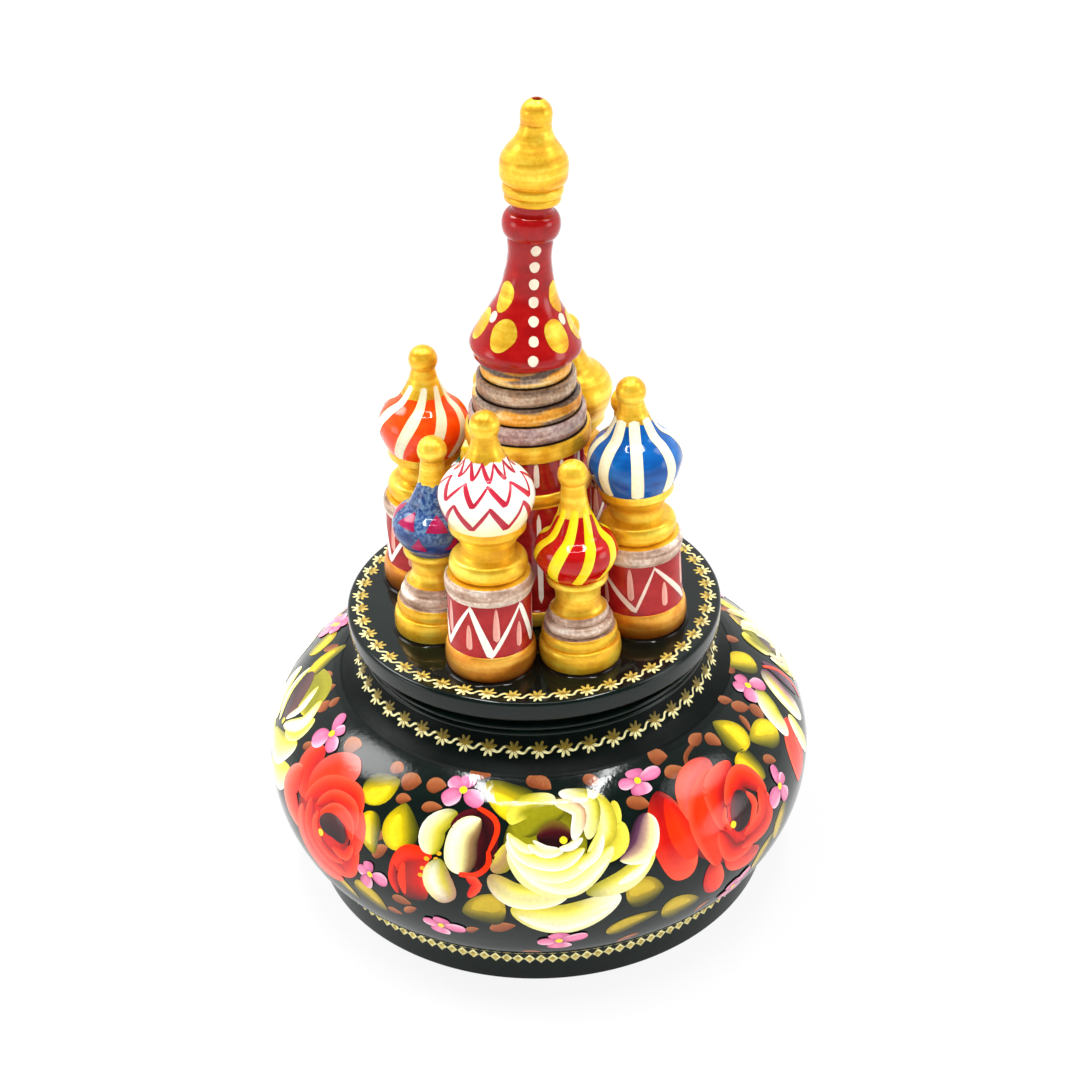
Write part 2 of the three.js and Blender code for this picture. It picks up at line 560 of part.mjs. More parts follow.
function addCentreTower() {
  const drumTop = TABLE_TOP_Z + DRUM_H;
  const stackTenon = STACK_TOP_R / 2;
  const drum = turned([
    [0, TABLE_TOP_Z - TENON.length + 2 * SEAT_GAP],
    [DRUM_TENON_R, TABLE_TOP_Z - TENON.length + 2 * SEAT_GAP],
    [DRUM_TENON_R, TABLE_TOP_Z],
    ...bead(1.04 * DRUM_R, TABLE_TOP_Z, TABLE_TOP_Z + 0.09 * DRUM_H, 0.06 * DRUM_R),
    [DRUM_R, TABLE_TOP_Z + 0.1 * DRUM_H],
    [DRUM_R, TABLE_TOP_Z + 0.73 * DRUM_H],
    ...bead(0.98 * DRUM_R, TABLE_TOP_Z + 0.74 * DRUM_H, TABLE_TOP_Z + 0.81 * DRUM_H, 0.06 * DRUM_R),
    [0.9 * DRUM_R, TABLE_TOP_Z + 0.82 * DRUM_H],
    [0.9 * DRUM_R, drumTop],
    [stackTenon + GLUE_FIT, drumTop],
    [stackTenon + GLUE_FIT, drumTop - TENON.length - SEAT_GAP],
    [0, drumTop - TENON.length - SEAT_GAP],
  ], CENTRE_SIDES);
  addPiece('centre_drum', drum, RED_LACQUER);

  const spireTenon = STACK_TOP_R / 2.5;
  const stackTop = drumTop + STACK_H;
  const ringH = STACK_H / STACK_RINGS;
  const groove = 0.06 * STACK_FOOT_R;
  const rings = Array.from({ length: STACK_RINGS }, (_, i) => {
    const r = THREE.MathUtils.lerp(STACK_FOOT_R, STACK_TOP_R, i / (STACK_RINGS - 1)) - groove;
    return bead(r, drumTop + i * ringH, drumTop + (i + 0.92) * ringH, groove);
  });
  const stack = turned([
    [0, drumTop - TENON.length],
    [stackTenon, drumTop - TENON.length],
    [stackTenon, drumTop],
    ...rings.flat(),
    [rings.at(-1).at(-1)[0], stackTop],
    [spireTenon + GLUE_FIT, stackTop],
    [spireTenon + GLUE_FIT, stackTop - TENON.length - SEAT_GAP],
    [0, stackTop - TENON.length - SEAT_GAP],
  ], CENTRE_SIDES);
  addPiece('centre_stack', stack, metal(0x8f8088, 0.5));

  const finialTenon = 0.3 * FINIAL_R;
  const r = SPIRE_R;
  const h = SPIRE_H;
  const spireProfile = [
    [0, -2],
    [0.92 * r, -2],
    [0.92 * r, 0],
    ...smooth([
      [0.96 * r, 0.019 * h],
      [r, 0.081 * h],
      [0.735 * r, 0.256 * h],
      [0.565 * r, 0.365 * h],
      [0.465 * r, 0.474 * h],
      [0.388 * r, 0.631 * h],
      [0.4 * r, 0.747 * h],
    ], 9),
    ...bead(0.388 * r, 0.779 * h, 0.945 * h, 0.128 * r),
    [0.36 * r, 0.958 * h],
    [0.36 * r, h],
    [finialTenon + GLUE_FIT, h],
    [finialTenon + GLUE_FIT, h - TENON.length - SEAT_GAP],
    [0, h - TENON.length - SEAT_GAP],
  ];
  const spire = leaningPiece(spireProfile, CENTRE_SIDES, SPIRE_LEAN, spireTenon, TENON.length);

  const f = FINIAL_R;
  const top = FINIAL_H;
  const ballR = 0.462 * f;
  const ballTop = top - 0.15 * ballR;
  const finial = turned([
    [0, -TENON.length],
    [finialTenon, -TENON.length],
    [finialTenon, 0],
    ...bead(0.77 * f, 0, 0.076 * top, 0.06 * f),
    ...bead(0.83 * f, 0.081 * top, 0.172 * top, 0.06 * f),
    ...smooth([
      [0.86 * f, 0.182 * top],
      [0.97 * f, 0.232 * top],
      [0.995 * f, 0.323 * top],
      [0.985 * f, 0.404 * top],
      [0.925 * f, 0.46 * top],
      [0.79 * f, 0.53 * top],
      [0.61 * f, 0.606 * top],
      [0.49 * f, 0.682 * top],
      [0.42 * f, 0.753 * top],
    ], 8),
    ...ball(ballR, top - ballR, radians(-26)).slice(0, -1),
    [FINIAL_HOLE.r, ballTop],
    [FINIAL_HOLE.r, top - FINIAL_HOLE.depth],
    [0, top - FINIAL_HOLE.depth],
  ], TOWER_SIDES);

  const spireGroup = new THREE.Group();
  spireGroup.position.z = SPIRE_Z;
  musicBox.add(spireGroup);
  const spireMesh = new THREE.Mesh(toGeometry(spire), RED_LACQUER);
  spireMesh.name = 'spire';
  const finialSeat = new THREE.Group();
  finialSeat.rotation.y = radians(SPIRE_LEAN);
  const finialMesh = new THREE.Mesh(toGeometry(finial), GOLD_PAINT);
  finialMesh.name = 'finial';
  finialMesh.position.z = SPIRE_H + SEAT_GAP;
  finialSeat.add(finialMesh);
  spireGroup.add(spireMesh, finialSeat);
}

// Movement: bedplate, spring, brackets and comb

function addBedAndSpring() {
  const front = OPENING_R - BEDPLATE.frontGap;
  const plate = block(-BEDPLATE.back, front, -BEDPLATE.left, BEDPLATE.right, COVER_TOP_Z, BED_TOP_Z);
  const round = rod(OPENING_R - BEDPLATE.trim, COVER_Z, BED_TOP_Z + OVERLAP, 0, 0, POT_SIDES);
  const through = (r, x, y) => rod(r, COVER_Z, BED_TOP_Z + OVERLAP, x, y);
  const screwHoles = movementScrewRing.map(([x, y]) => through(MACHINE_SCREW.shank + SLIDE_FIT, x, y));
  const shaftHole = rod(SHAFT_R + SLIDE_FIT, COVER_Z, BED_TOP_Z + OVERLAP, 0, 0, CENTRE_SIDES);
  const wormHole = through(WORM.core + SLIDE_FIT, WORM_X, WORM_Y);
  addPiece('bedplate', cut(plate.intersect(round), shaftHole, wormHole, ...screwHoles), ZINC);

  const housingR = CROWN_OUT;
  const housing = turned([
    [SHAFT_R + SEAT_GAP, HOUSING_TOP_Z - HOUSING_WALL],
    [housingR - HOUSING_WALL, HOUSING_TOP_Z - HOUSING_WALL],
    [housingR - HOUSING_WALL, BED_TOP_Z],
    [housingR, BED_TOP_Z],
    [housingR, HOUSING_TOP_Z],
    [SHAFT_R + SEAT_GAP, HOUSING_TOP_Z],
    [SHAFT_R + SEAT_GAP, HOUSING_TOP_Z - HOUSING_WALL],
  ], CENTRE_SIDES);
  addPiece('spring_housing', housing, ZINC);

  const innerR = SHAFT_R + SPRING.gap;
  const outerR = (housingR - HOUSING_WALL) * Math.cos(Math.PI / CENTRE_SIDES) - SPRING.gap - SPRING.t;
  const side = (offset) => Array.from({ length: SPRING.turns * SPRING.steps + 1 }, (_, i) => {
    const turn = i / SPRING.steps * 2 * Math.PI;
    const r = THREE.MathUtils.lerp(innerR, outerR, i / (SPRING.turns * SPRING.steps)) + offset;
    return new THREE.Vector2(r * Math.cos(turn), r * Math.sin(turn));
  });
  const strip = new THREE.Shape([...side(SPRING.t), ...side(0).reverse()]);
  const depth = HOUSING_H - HOUSING_WALL - 2 * SPRING.gap;
  const coil = new THREE.ExtrudeGeometry(strip, { depth, bevelEnabled: false });
  addPiece('mainspring', toSolid(coil.translate(0, 0, BED_TOP_Z + SPRING.gap)), SPRING_STEEL);
}

function addBrackets() {
  const arborHole = CYLINDER.arbor + SLIDE_FIT;
  const plate = (x, y0, y1, t) => block(x, x + t, y0, y1, BED_TOP_Z, BRACKET_TOP_Z);
  const bearing = (x, y, t) => arbor(arborHole, x - OVERLAP, x + t + OVERLAP, y, AXIS_Z);
  const inner = plate(INNER_BRACKET_X, -BRACKET_HALF, BRACKET_HALF, BRACKET_T);
  addPiece('inner_bracket', cut(inner, bearing(INNER_BRACKET_X, 0, BRACKET_T)), ZINC);
  const outer = plate(OUTER_BRACKET_X, -BRACKET_HALF, LEAF_Y + COCK.side, BRACKET_T);
  const bearings = [bearing(OUTER_BRACKET_X, 0, BRACKET_T), bearing(OUTER_BRACKET_X, LEAF_Y, BRACKET_T)];
  addPiece('outer_bracket', cut(outer, ...bearings), ZINC);

  const armEndX = WORM_X + COCK.side;
  const armEndY = WORM_Y + COCK.side;
  const post = plate(COCK_X, LEAF_Y - COCK.side, LEAF_Y + COCK.side, COCK.t);
  const armY = LEAF_Y - COCK.side;
  const arm = block(COCK_X, armEndX, armY, armEndY, BRACKET_TOP_Z - COCK.t, BRACKET_TOP_Z);
  const wormHole = rod(WORM.core + SLIDE_FIT, AXIS_Z, BRACKET_TOP_Z + OVERLAP, WORM_X, WORM_Y);
  addPiece('governor_cock', cut(join(post, arm), bearing(COCK_X, LEAF_Y, COCK.t), wormHole), BRASS);
}

function addComb() {
  const x0 = CYLINDER_X;
  const x1 = CYLINDER_END_X;
  const screwY = (COMB_ROOT_Y + COMB_BACK_Y) / 2;
  const screwXs = [x0 + COMB_SCREW.notesIn * NOTE_PITCH, x1 - COMB_SCREW.notesIn * NOTE_PITCH];
  const hole = COMB_SCREW.shank + SLIDE_FIT;
  const depth = COMB_Z - COMB_SCREW.grip;
  const drill = (z0, z1) => screwXs.map((x) => rod(hole, z0, z1, x, screwY));
  const blank = block(x0, x1, COMB_BACK_Y, COMB_TIP_Y, COMB_Z, COMB_Z + COMB.t);
  const slits = Array.from({ length: NOTES - 1 }, (_, i) => {
    const x = x0 + (i + 1) * NOTE_PITCH;
    const half = COMB.slit / 2;
    const topZ = COMB_Z + COMB.t + OVERLAP;
    return block(x - half, x + half, COMB_ROOT_Y, COMB_TIP_Y + OVERLAP, COMB_Z - OVERLAP, topZ);
  });
  const combHoles = drill(COMB_Z - OVERLAP, COMB_Z + COMB.t + OVERLAP);
  addPiece('comb', cut(blank, ...slits, ...combHoles), STEEL);
  const stand = block(x0, x1, COMB_BACK_Y, COMB_ROOT_Y, BED_TOP_Z, COMB_Z);
  addPiece('comb_block', cut(stand, ...drill(depth - SEAT_GAP, COMB_Z + OVERLAP)), ZINC);
  screwXs.forEach((x, i) => {
    const headZ = COMB_Z + COMB.t;
    const shank = rod(COMB_SCREW.shank, depth, headZ + OVERLAP, x, screwY);
    const head = rod(COMB_SCREW.head, headZ, headZ + SCREW_HEAD_H, x, screwY);
    addPiece(`comb_screw_${i + 1}`, join(shank, head), STEEL);
  });
}

// Gears: the first tooth points along +X of the outline before it is turned by firstTurn.
// Laid along X, an outline's X is +Y and its Y is +Z.
const ALONG_X = new THREE.Matrix4().makeBasis(
  new THREE.Vector3(0, 1, 0),
  new THREE.Vector3(0, 0, 1),
  new THREE.Vector3(1, 0, 0),
);

function gearOutline(teeth, module, firstTurn) {
  const pitchR = teeth * module / 2;
  const tipR = pitchR + TOOTH_TIP * module;
  const rootR = pitchR - TOOTH_ROOT * module;
  const tipHalf = TOOTH_TIP_WIDTH * module / 2 / tipR;
  const rootHalf = TOOTH_ROOT_WIDTH * module / 2 / rootR;
  const corner = (r, turn) => new THREE.Vector2(r * Math.cos(turn), r * Math.sin(turn));
  return new THREE.Shape(Array.from({ length: teeth }, (_, i) => {
    const middle = firstTurn + i * 2 * Math.PI / teeth;
    return [
      corner(rootR, middle - rootHalf),
      corner(tipR, middle - tipHalf),
      corner(tipR, middle + tipHalf),
      corner(rootR, middle + rootHalf),
    ];
  }).flat());
}

// Gear on an axis along X. Slant is the rise of a tooth for each millimetre along the axis.
function gearAlongX(teeth, module, firstTurn, x0, t, y, slant = 0) {
  const outline = gearOutline(teeth, module, firstTurn);
  const geometry = new THREE.ExtrudeGeometry(outline, { depth: t, bevelEnabled: false });
  const places = geometry.attributes.position;
  const turnRate = slant / (teeth * module / 2);
  for (let i = 0; i < places.count; i += 1) {
    const point = new THREE.Vector3().fromBufferAttribute(places, i);
    point.applyAxisAngle(new THREE.Vector3(0, 0, 1), (point.z - t / 2) * turnRate);
    places.setXYZ(i, point.x, point.y, point.z);
  }
  return toSolid(geometry.applyMatrix4(ALONG_X).translate(x0, y, AXIS_Z));
}

function addCrownWheel() {
  const m = CROWN_MODULE;
  const web = turned([
    [SHAFT_R + SLIDE_FIT, CROWN_Z],
    [CROWN_OUT, CROWN_Z],
    [CROWN_OUT, CROWN_TOP_Z],
    [SHAFT_R + SLIDE_FIT, CROWN_TOP_Z],
    [SHAFT_R + SLIDE_FIT, CROWN_Z],
  ], CENTRE_SIDES * 2);
  const rootHalf = TOOTH_ROOT_WIDTH * m / 2;
  const tipHalf = TOOTH_TIP_WIDTH * m / 2;
  const tipZ = CROWN_PITCH_Z + TOOTH_TIP * m;
  const section = new THREE.Shape([
    new THREE.Vector2(-rootHalf, CROWN_TOP_Z - OVERLAP),
    new THREE.Vector2(rootHalf, CROWN_TOP_Z - OVERLAP),
    new THREE.Vector2(rootHalf, CROWN_TOP_Z),
    new THREE.Vector2(tipHalf, tipZ),
    new THREE.Vector2(-tipHalf, tipZ),
    new THREE.Vector2(-rootHalf, CROWN_TOP_Z),
  ]);
  const toothLength = CROWN_FACE - SEAT_GAP;
  const teeth = Array.from({ length: CROWN_TEETH }, (_, i) => {
    const tooth = new THREE.ExtrudeGeometry(section, { depth: toothLength, bevelEnabled: false });
    tooth.applyMatrix4(ALONG_X).translate(CROWN_IN, 0, 0);
    return toSolid(tooth.rotateZ(i * 2 * Math.PI / CROWN_TEETH));
  });
  addPiece('crown_wheel', join(web, ...teeth), BRASS);
}

function addCylinder() {
  const pins = Array.from({ length: NOTES * PIN.rows }, (_, i) => {
    const pin = new THREE.BoxGeometry(PIN.width, PIN.width, 2 * PIN.height);
    pin.translate(CYLINDER_X + (i % NOTES + 0.5) * NOTE_PITCH, 0, CYLINDER.r);
    return toSolid(pin.rotateX(radians(i * PIN.turn)).translate(0, 0, AXIS_Z));
  });
  const drum = toSolid(rodGeometry(CYLINDER.r, CYLINDER_X, CYLINDER_END_X, CENTRE_SIDES)
    .rotateY(Math.PI / 2).translate(0, 0, AXIS_Z));
  const spindle = arbor(CYLINDER.arbor, CROWN_IN - OVERLAP, ARBOR_END_X, 0, AXIS_Z);
  addPiece('pinned_cylinder', join(drum, spindle, ...pins), BRASS);

  // The pinion has a gap at the bottom, where a crown tooth stands
  const bore = (x0, x1) => arbor(CYLINDER.arbor + SLIDE_FIT, x0 - OVERLAP, x1 + OVERLAP, 0, AXIS_Z);
  const halfStep = Math.PI / PINION_TEETH;
  const pinionTurn = -Math.PI / 2 + halfStep;
  const pinion = gearAlongX(PINION_TEETH, CROWN_MODULE, pinionTurn, CROWN_IN, CROWN_FACE, 0);
  addPiece('cylinder_pinion', cut(pinion, bore(CROWN_IN, CROWN_OUT)), STEEL);
  const wheel = gearAlongX(WHEEL_TEETH, WHEEL_MODULE, 0, WHEEL_X, WHEEL_T, 0);
  addPiece('cylinder_wheel', cut(wheel, bore(WHEEL_X, WHEEL_X + WHEEL_T)), BRASS);
}

function addGovernor() {
  const wormSlant = WORM_LEAD / (2 * Math.PI * WORM.r);
  const leafTurn = Math.PI + Math.PI / LEAF_TEETH;
  const leaf = gearAlongX(LEAF_TEETH, WHEEL_MODULE, leafTurn, WHEEL_X, WHEEL_T, LEAF_Y);
  const spindle = arbor(CYLINDER.arbor, COCK_X - OVERLAP, ARBOR_END_X, LEAF_Y, AXIS_Z);
  addPiece('governor_pinion', join(spindle, leaf), STEEL);
  const wheel = gearAlongX(WORM.teeth, WORM.module, 0, WORM_WHEEL_X, WHEEL_T, LEAF_Y, wormSlant);
  const bore = arbor(CYLINDER.arbor + SLIDE_FIT, WORM_WHEEL_X - OVERLAP, WHEEL_X, LEAF_Y, AXIS_Z);
  addPiece('governor_wheel', cut(wheel, bore), BRASS);

  const spindleTop = BRACKET_TOP_Z + OVERLAP + FAN.h + OVERLAP;
  const rootR = WORM.r - TOOTH_ROOT * WORM.module;
  const body = rod(rootR, AXIS_Z - WORM.length / 2, AXIS_Z + WORM.length / 2, WORM_X, WORM_Y);
  const wire = rod(WORM.core, COVER_TOP_Z + SEAT_GAP, spindleTop, WORM_X, WORM_Y);
  const threads = Array.from({ length: WORM.starts }, (_, i) => (
    toSolid(threadGeometry(i * 2 * Math.PI / WORM.starts).translate(WORM_X, WORM_Y, AXIS_Z))
  ));
  addPiece('governor_worm', join(wire, body, ...threads), STEEL);

  const fanZ = BRACKET_TOP_Z + OVERLAP;
  const hub = rod(FAN.hub, fanZ, fanZ + FAN.h, WORM_X, WORM_Y);
  const vane = block(
    WORM_X - FAN.half, WORM_X + FAN.half,
    WORM_Y - FAN.t / 2, WORM_Y + FAN.t / 2,
    fanZ, fanZ + FAN.h,
  );
  const fanBore = rod(WORM.core + SLIDE_FIT, fanZ - OVERLAP, fanZ + FAN.h + OVERLAP, WORM_X, WORM_Y);
  addPiece('governor_fan', cut(join(hub, vane), fanBore), BRASS);
}

// One thread of the worm: a tooth section swept up a right-hand helix.
// At mid height a gap between threads faces the wheel, where one of its teeth stands.
function threadGeometry(startTurn) {
  const m = WORM.module;
  const rootR = WORM.r - TOOTH_ROOT * m - OVERLAP / 4;
  const tipR = WORM.r + TOOTH_TIP * m;
  const section = [
    [rootR, -TOOTH_ROOT_WIDTH * m / 2],
    [tipR, -TOOTH_TIP_WIDTH * m / 2],
    [tipR, TOOTH_TIP_WIDTH * m / 2],
    [rootR, TOOTH_ROOT_WIDTH * m / 2],
  ];
  const sweep = WORM.length - 2 * TOOTH_ROOT_WIDTH * m;
  const rings = Math.round(sweep / WORM_LEAD * WORM.steps);
  const gapTurn = -Math.PI / 2 + Math.PI / WORM.starts;
  const points = [];
  for (let i = 0; i <= rings; i += 1) {
    const rise = sweep * (i / rings - 0.5);
    const turn = startTurn + gapTurn + rise / WORM_LEAD * 2 * Math.PI;
    section.forEach(([r, z]) => points.push(r * Math.cos(turn), r * Math.sin(turn), rise + z));
  }
  const faces = [];
  const quad = (a, b, c, d) => faces.push(a, b, c, a, c, d);
  for (let i = 0; i < rings; i += 1) {
    for (let j = 0; j < section.length; j += 1) {
      const next = (j + 1) % section.length;
      const here = i * section.length;
      const above = here + section.length;
      quad(here + j, above + j, above + next, here + next);
    }
  }
  const last = rings * section.length;
  quad(0, 1, 2, 3);
  quad(last + 3, last + 2, last + 1, last);
  const geometry = new THREE.BufferGeometry();
  geometry.setAttribute('position', new THREE.Float32BufferAttribute(points, 3));
  geometry.setIndex(faces);
  return geometry;
}

addPot();
addCover();
addTable();
addHubAndShaft();
addTowers();
addCentreTower();
addBedAndSpring();
addBrackets();
addComb();
addCrownWheel();
addCylinder();
addGovernor();

export default musicBox;
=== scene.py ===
"""Looks of the music box: smooth turned pieces, brush-painted ornament, foil rings, light and camera."""
import json
import math
from math import cos, pi, radians, sin

import bpy
import numpy as np
from mathutils import Matrix, Vector


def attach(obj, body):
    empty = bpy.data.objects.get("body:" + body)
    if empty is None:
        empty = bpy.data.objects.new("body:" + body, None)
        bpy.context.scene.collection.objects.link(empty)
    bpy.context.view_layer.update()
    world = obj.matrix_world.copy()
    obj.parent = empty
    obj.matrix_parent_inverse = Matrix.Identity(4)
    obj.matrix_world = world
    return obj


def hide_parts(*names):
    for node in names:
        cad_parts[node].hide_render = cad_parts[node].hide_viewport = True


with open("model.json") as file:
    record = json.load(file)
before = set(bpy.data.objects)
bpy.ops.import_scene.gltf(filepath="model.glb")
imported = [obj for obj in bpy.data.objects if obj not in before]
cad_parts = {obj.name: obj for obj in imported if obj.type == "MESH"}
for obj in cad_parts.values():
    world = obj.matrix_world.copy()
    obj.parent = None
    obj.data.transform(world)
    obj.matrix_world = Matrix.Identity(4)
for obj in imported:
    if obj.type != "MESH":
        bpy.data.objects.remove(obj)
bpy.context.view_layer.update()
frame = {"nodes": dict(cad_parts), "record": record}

MM = 0.001
rng = np.random.default_rng(11)

# Sizes in millimetres, as in the solids
POT_R, WAIST_Z = 60.0, 27.0
BELLY_TOP, BELLY_RISE = 27.0, 22.0
BELLY_LOW, BELLY_DROP = 15.7, 21.4
FOOT_R, FOOT_H, FOOT_BEVEL, CREASE = 51.6, 9.0, 0.8, 0.9
NECK_R, SHOULDER_R, NECK_H = 37.6, 42.5, 8.4
RIB_H, RIB_GROOVE, RIB_GAP = 1.2, 0.7, 0.3
REBATE_R, OPENING_R, COVER_TOP = 48.0, 43.0, 6.0
WEB_T, BUSH_SEAT_R, BUSH_SEAT_T, BUSH_R = 8.0, 7.8, 1.2, 5.45
CAVITY_R, CAVITY_TOP_R = 51.0, 33.1
TABLE_R, TABLE_T, TABLE_EDGE, UNDER_EDGE = 40.1, 4.4, 0.9, 0.45
BOSS_R, BOSS_H, RUN_GAP = 35.1, 2.5, 0.6
HUB_RECESS, HUB_SEAT = 9.3, 1.75
TOWER_LEAN = 2.8
TALL_R, TALL_H, SHORT_R, SHORT_H = 0.2307 * TABLE_R, 55.6, 0.2095 * TABLE_R, 44.1
DRUM_R, DRUM_H = 0.3142 * TABLE_R, 38.4
STACK_FOOT_R, STACK_TOP_R, STACK_RINGS, STACK_H = 0.3217 * TABLE_R, 0.2294 * TABLE_R, 5, 18.7
SPIRE_R, SPIRE_H, SPIRE_LEAN, SEAT_GAP = 0.2768 * TABLE_R, 31.2, 4.3, 0.3
FINIAL_R, FINIAL_H, HOLE_R, HOLE_DEPTH = 6.6, 19.8, 0.9, 3.0

SHOULDER_TURN = math.acos((SHOULDER_R - POT_R + BELLY_TOP) / BELLY_TOP)
FOOT_TURN = math.asin((WAIST_Z - FOOT_H - CREASE) / BELLY_DROP)
SHOULDER_Z = WAIST_Z + BELLY_RISE * sin(SHOULDER_TURN)
NECK_Z = SHOULDER_Z + NECK_H
BOSS_Z = NECK_Z + RUN_GAP
TABLE_Z = BOSS_Z + BOSS_H
TOP_Z = TABLE_Z + TABLE_T
DRUM_TOP = TOP_Z + DRUM_H
SPIRE_Z = DRUM_TOP + STACK_H + SEAT_GAP
# The heights below the shoulder between which the lacquer dulls, and darkens as painted shade under the disc
DULL_FROM, DULL_TO = 0.6, 0.1
CAMERA_AT = (0.0, -324.4, 275.7)


# Outlines of the turned pieces: points (radius, height) from the bottom up

def bead(r, z0, z1, swell, steps=10):
    turn = (np.linspace(0, 1, steps + 1) - 0.5) * pi
    return [(r + swell * cos(t), (z0 + z1) / 2 + (z1 - z0) / 2 * sin(t)) for t in turn]


def spline(points, steps):
    points = np.array(points, float)
    last = len(points) - 1
    found = []
    for t in np.linspace(0, last, steps + 1):
        i = min(int(t), last - 1)
        f = t - i
        a, b, c, d = (points[min(max(i + k, 0), last)] for k in (-1, 0, 1, 2))
        v, w = (c - a) / 2, (d - b) / 2
        found.append((2 * b - 2 * c + v + w) * f**3 + (-3 * b + 3 * c - 2 * v - w) * f**2 + v * f + b)
    return np.array(found)


def ball(r, centre, from_degrees, steps):
    turn = np.linspace(radians(from_degrees), pi / 2, steps + 1)
    return [(max(r * cos(t), 0), centre + r * sin(t)) for t in turn]


LEAST_BEND = 0.45


def soften(points, radius=0.22):
    """Rounds the corners of an outline that bend by LEAST_BEND radians or more."""
    points = [np.array(p, float) for p in points]
    found = [points[0]]
    for a, b, c in zip(points, points[1:], points[2:]):
        u, v = a - b, c - b
        lu, lv = np.hypot(*u), np.hypot(*v)
        bend = pi - math.acos(np.clip(u @ v / max(lu * lv, 1e-9), -1, 1))
        if bend < LEAST_BEND or b[0] < 1e-6:
            found.append(b)
            continue
        start, end = b + u / lu * min(radius, 0.4 * lu), b + v / lv * min(radius, 0.4 * lv)
        found += [(1 - k) ** 2 * start + 2 * k * (1 - k) * b + k * k * end for k in (0, 0.25, 0.5, 0.75, 1)]
    return found + [points[-1]]


def belly(low_steps=36, top_steps=56):
    low = np.linspace(FOOT_TURN, 0, low_steps + 1)
    top = np.linspace(0, SHOULDER_TURN, top_steps + 1)[1:]
    return ([(POT_R - BELLY_LOW * (1 - cos(t)), WAIST_Z - BELLY_DROP * sin(t)) for t in low]
            + [(POT_R - BELLY_TOP * (1 - cos(t)), WAIST_Z + BELLY_RISE * sin(t)) for t in top])


def neck():
    top = NECK_Z - 2 * RIB_H - RIB_GAP
    middle = (NECK_R + (SHOULDER_R - NECK_R) * 0.35, SHOULDER_Z + (top - SHOULDER_Z) * 0.4)
    return [tuple(p) for p in spline([(SHOULDER_R, SHOULDER_Z), middle, (NECK_R - RIB_GROOVE, top)], 24)]


def pot_zones():
    """The pot's outside from the foot up and its inside down again. The lacquer dulls towards the neck and
    darkens there as painted shade under the disc.
    """
    rib = NECK_R - RIB_GROOVE
    rib_z = NECK_Z - 2 * RIB_H - RIB_GAP
    web = NECK_Z - WEB_T
    seat = NECK_Z - BUSH_SEAT_T
    foot = [(REBATE_R, 0), (FOOT_R - FOOT_BEVEL, 0), (FOOT_R, FOOT_BEVEL), (FOOT_R, FOOT_H - CREASE),
            (FOOT_R - CREASE, FOOT_H)]
    outside = soften([*foot, *belly(), *neck()[1:-1]])
    cuts = (0, SHOULDER_Z - DULL_FROM, SHOULDER_Z - DULL_TO, NECK_Z)
    zones = [(look, [p for p in outside if low <= p[1] < high])
             for look, low, high in zip((BLACK, SHOULDER_BLACK, NECK_BLACK), cuts, cuts[1:])]
    ribs = (bead(rib, rib_z, rib_z + RIB_H, RIB_GROOVE)
            + bead(rib, rib_z + RIB_H + RIB_GAP, NECK_Z, RIB_GROOVE))
    cavity = [tuple(p) for p in spline([(CAVITY_TOP_R, web), (CAVITY_R - 3, (web + WAIST_Z) / 2 + 2),
                                        (CAVITY_R, WAIST_Z), (CAVITY_R - 2, (WAIST_Z + FOOT_H) / 2),
                                        (OPENING_R, FOOT_H)], 24)]
    inside = [(BUSH_SEAT_R, NECK_Z), (BUSH_SEAT_R, seat), (BUSH_R, seat), (BUSH_R, web), *cavity,
              (OPENING_R, COVER_TOP), (REBATE_R, COVER_TOP), (REBATE_R, 0)]
    return [*zones, (BLACK, ribs + inside)]


def table_outline():
    recess = BOSS_Z + HUB_SEAT
    under = [(0, recess), (HUB_RECESS, recess), (HUB_RECESS, BOSS_Z), (BOSS_R, BOSS_Z), (BOSS_R, TABLE_Z),
             (TABLE_R - UNDER_EDGE, TABLE_Z), (TABLE_R, TABLE_Z + UNDER_EDGE)]
    edge = [(TABLE_R - TABLE_EDGE * (1 - cos(t)), TOP_Z - TABLE_EDGE * (1 - sin(t)))
            for t in np.linspace(0, pi / 2, 9)]
    return soften([*under, *edge, (0, TOP_Z)])


def scaled(r, h, *shares):
    """Points given as shares of a radius and a height."""
    return [(x * r, z * h) for x, z in shares]


def split_at(outline, z):
    """The two parts of an outline below and above a height."""
    outline = np.array(outline)
    r = np.interp(z, outline[:, 1], outline[:, 0])
    return [*outline[outline[:, 1] < z], (r, z)], [(r, z), *outline[outline[:, 1] > z]]


def tall_zones(dome, gold_from):
    r, h = TALL_R, TALL_H
    ball_r = 0.324 * r
    cup = soften(scaled(r, h, (0.584, 0.46), (0.584, 0.497), (0.65, 0.52), (0.785, 0.552), (0.825, 0.556),
                        (0.838, 0.588)), 0.4)
    onion = spline(scaled(r, h, (0.838, 0.588), (0.955, 0.63), (1.027, 0.68), (0.97, 0.723), (0.8, 0.762),
                          (0.575, 0.791), (0.422, 0.833), (0.319, 0.872), (0.265, 0.91)), 64)
    painted, gilded = split_at(onion, gold_from * h)
    return [(WARM_GOLD, [(0, -1), (0.93 * r, -1), *bead(0.93 * r, 0, 0.102 * h, 0.07 * r, 16)]),
            (DRUM_RED, scaled(r, h, (0.914, 0.106), (0.914, 0.309))),
            (SILVER, bead(0.9 * r, 0.313 * h, 0.378 * h, 0.07 * r, 14)),
            (GOLD, bead(0.71 * r, 0.381 * h, 0.453 * h, 0.14 * r, 16) + cup),
            (dome, painted),
            (GOLD, [*gilded, *ball(ball_r, h - ball_r, -37, 20)])]


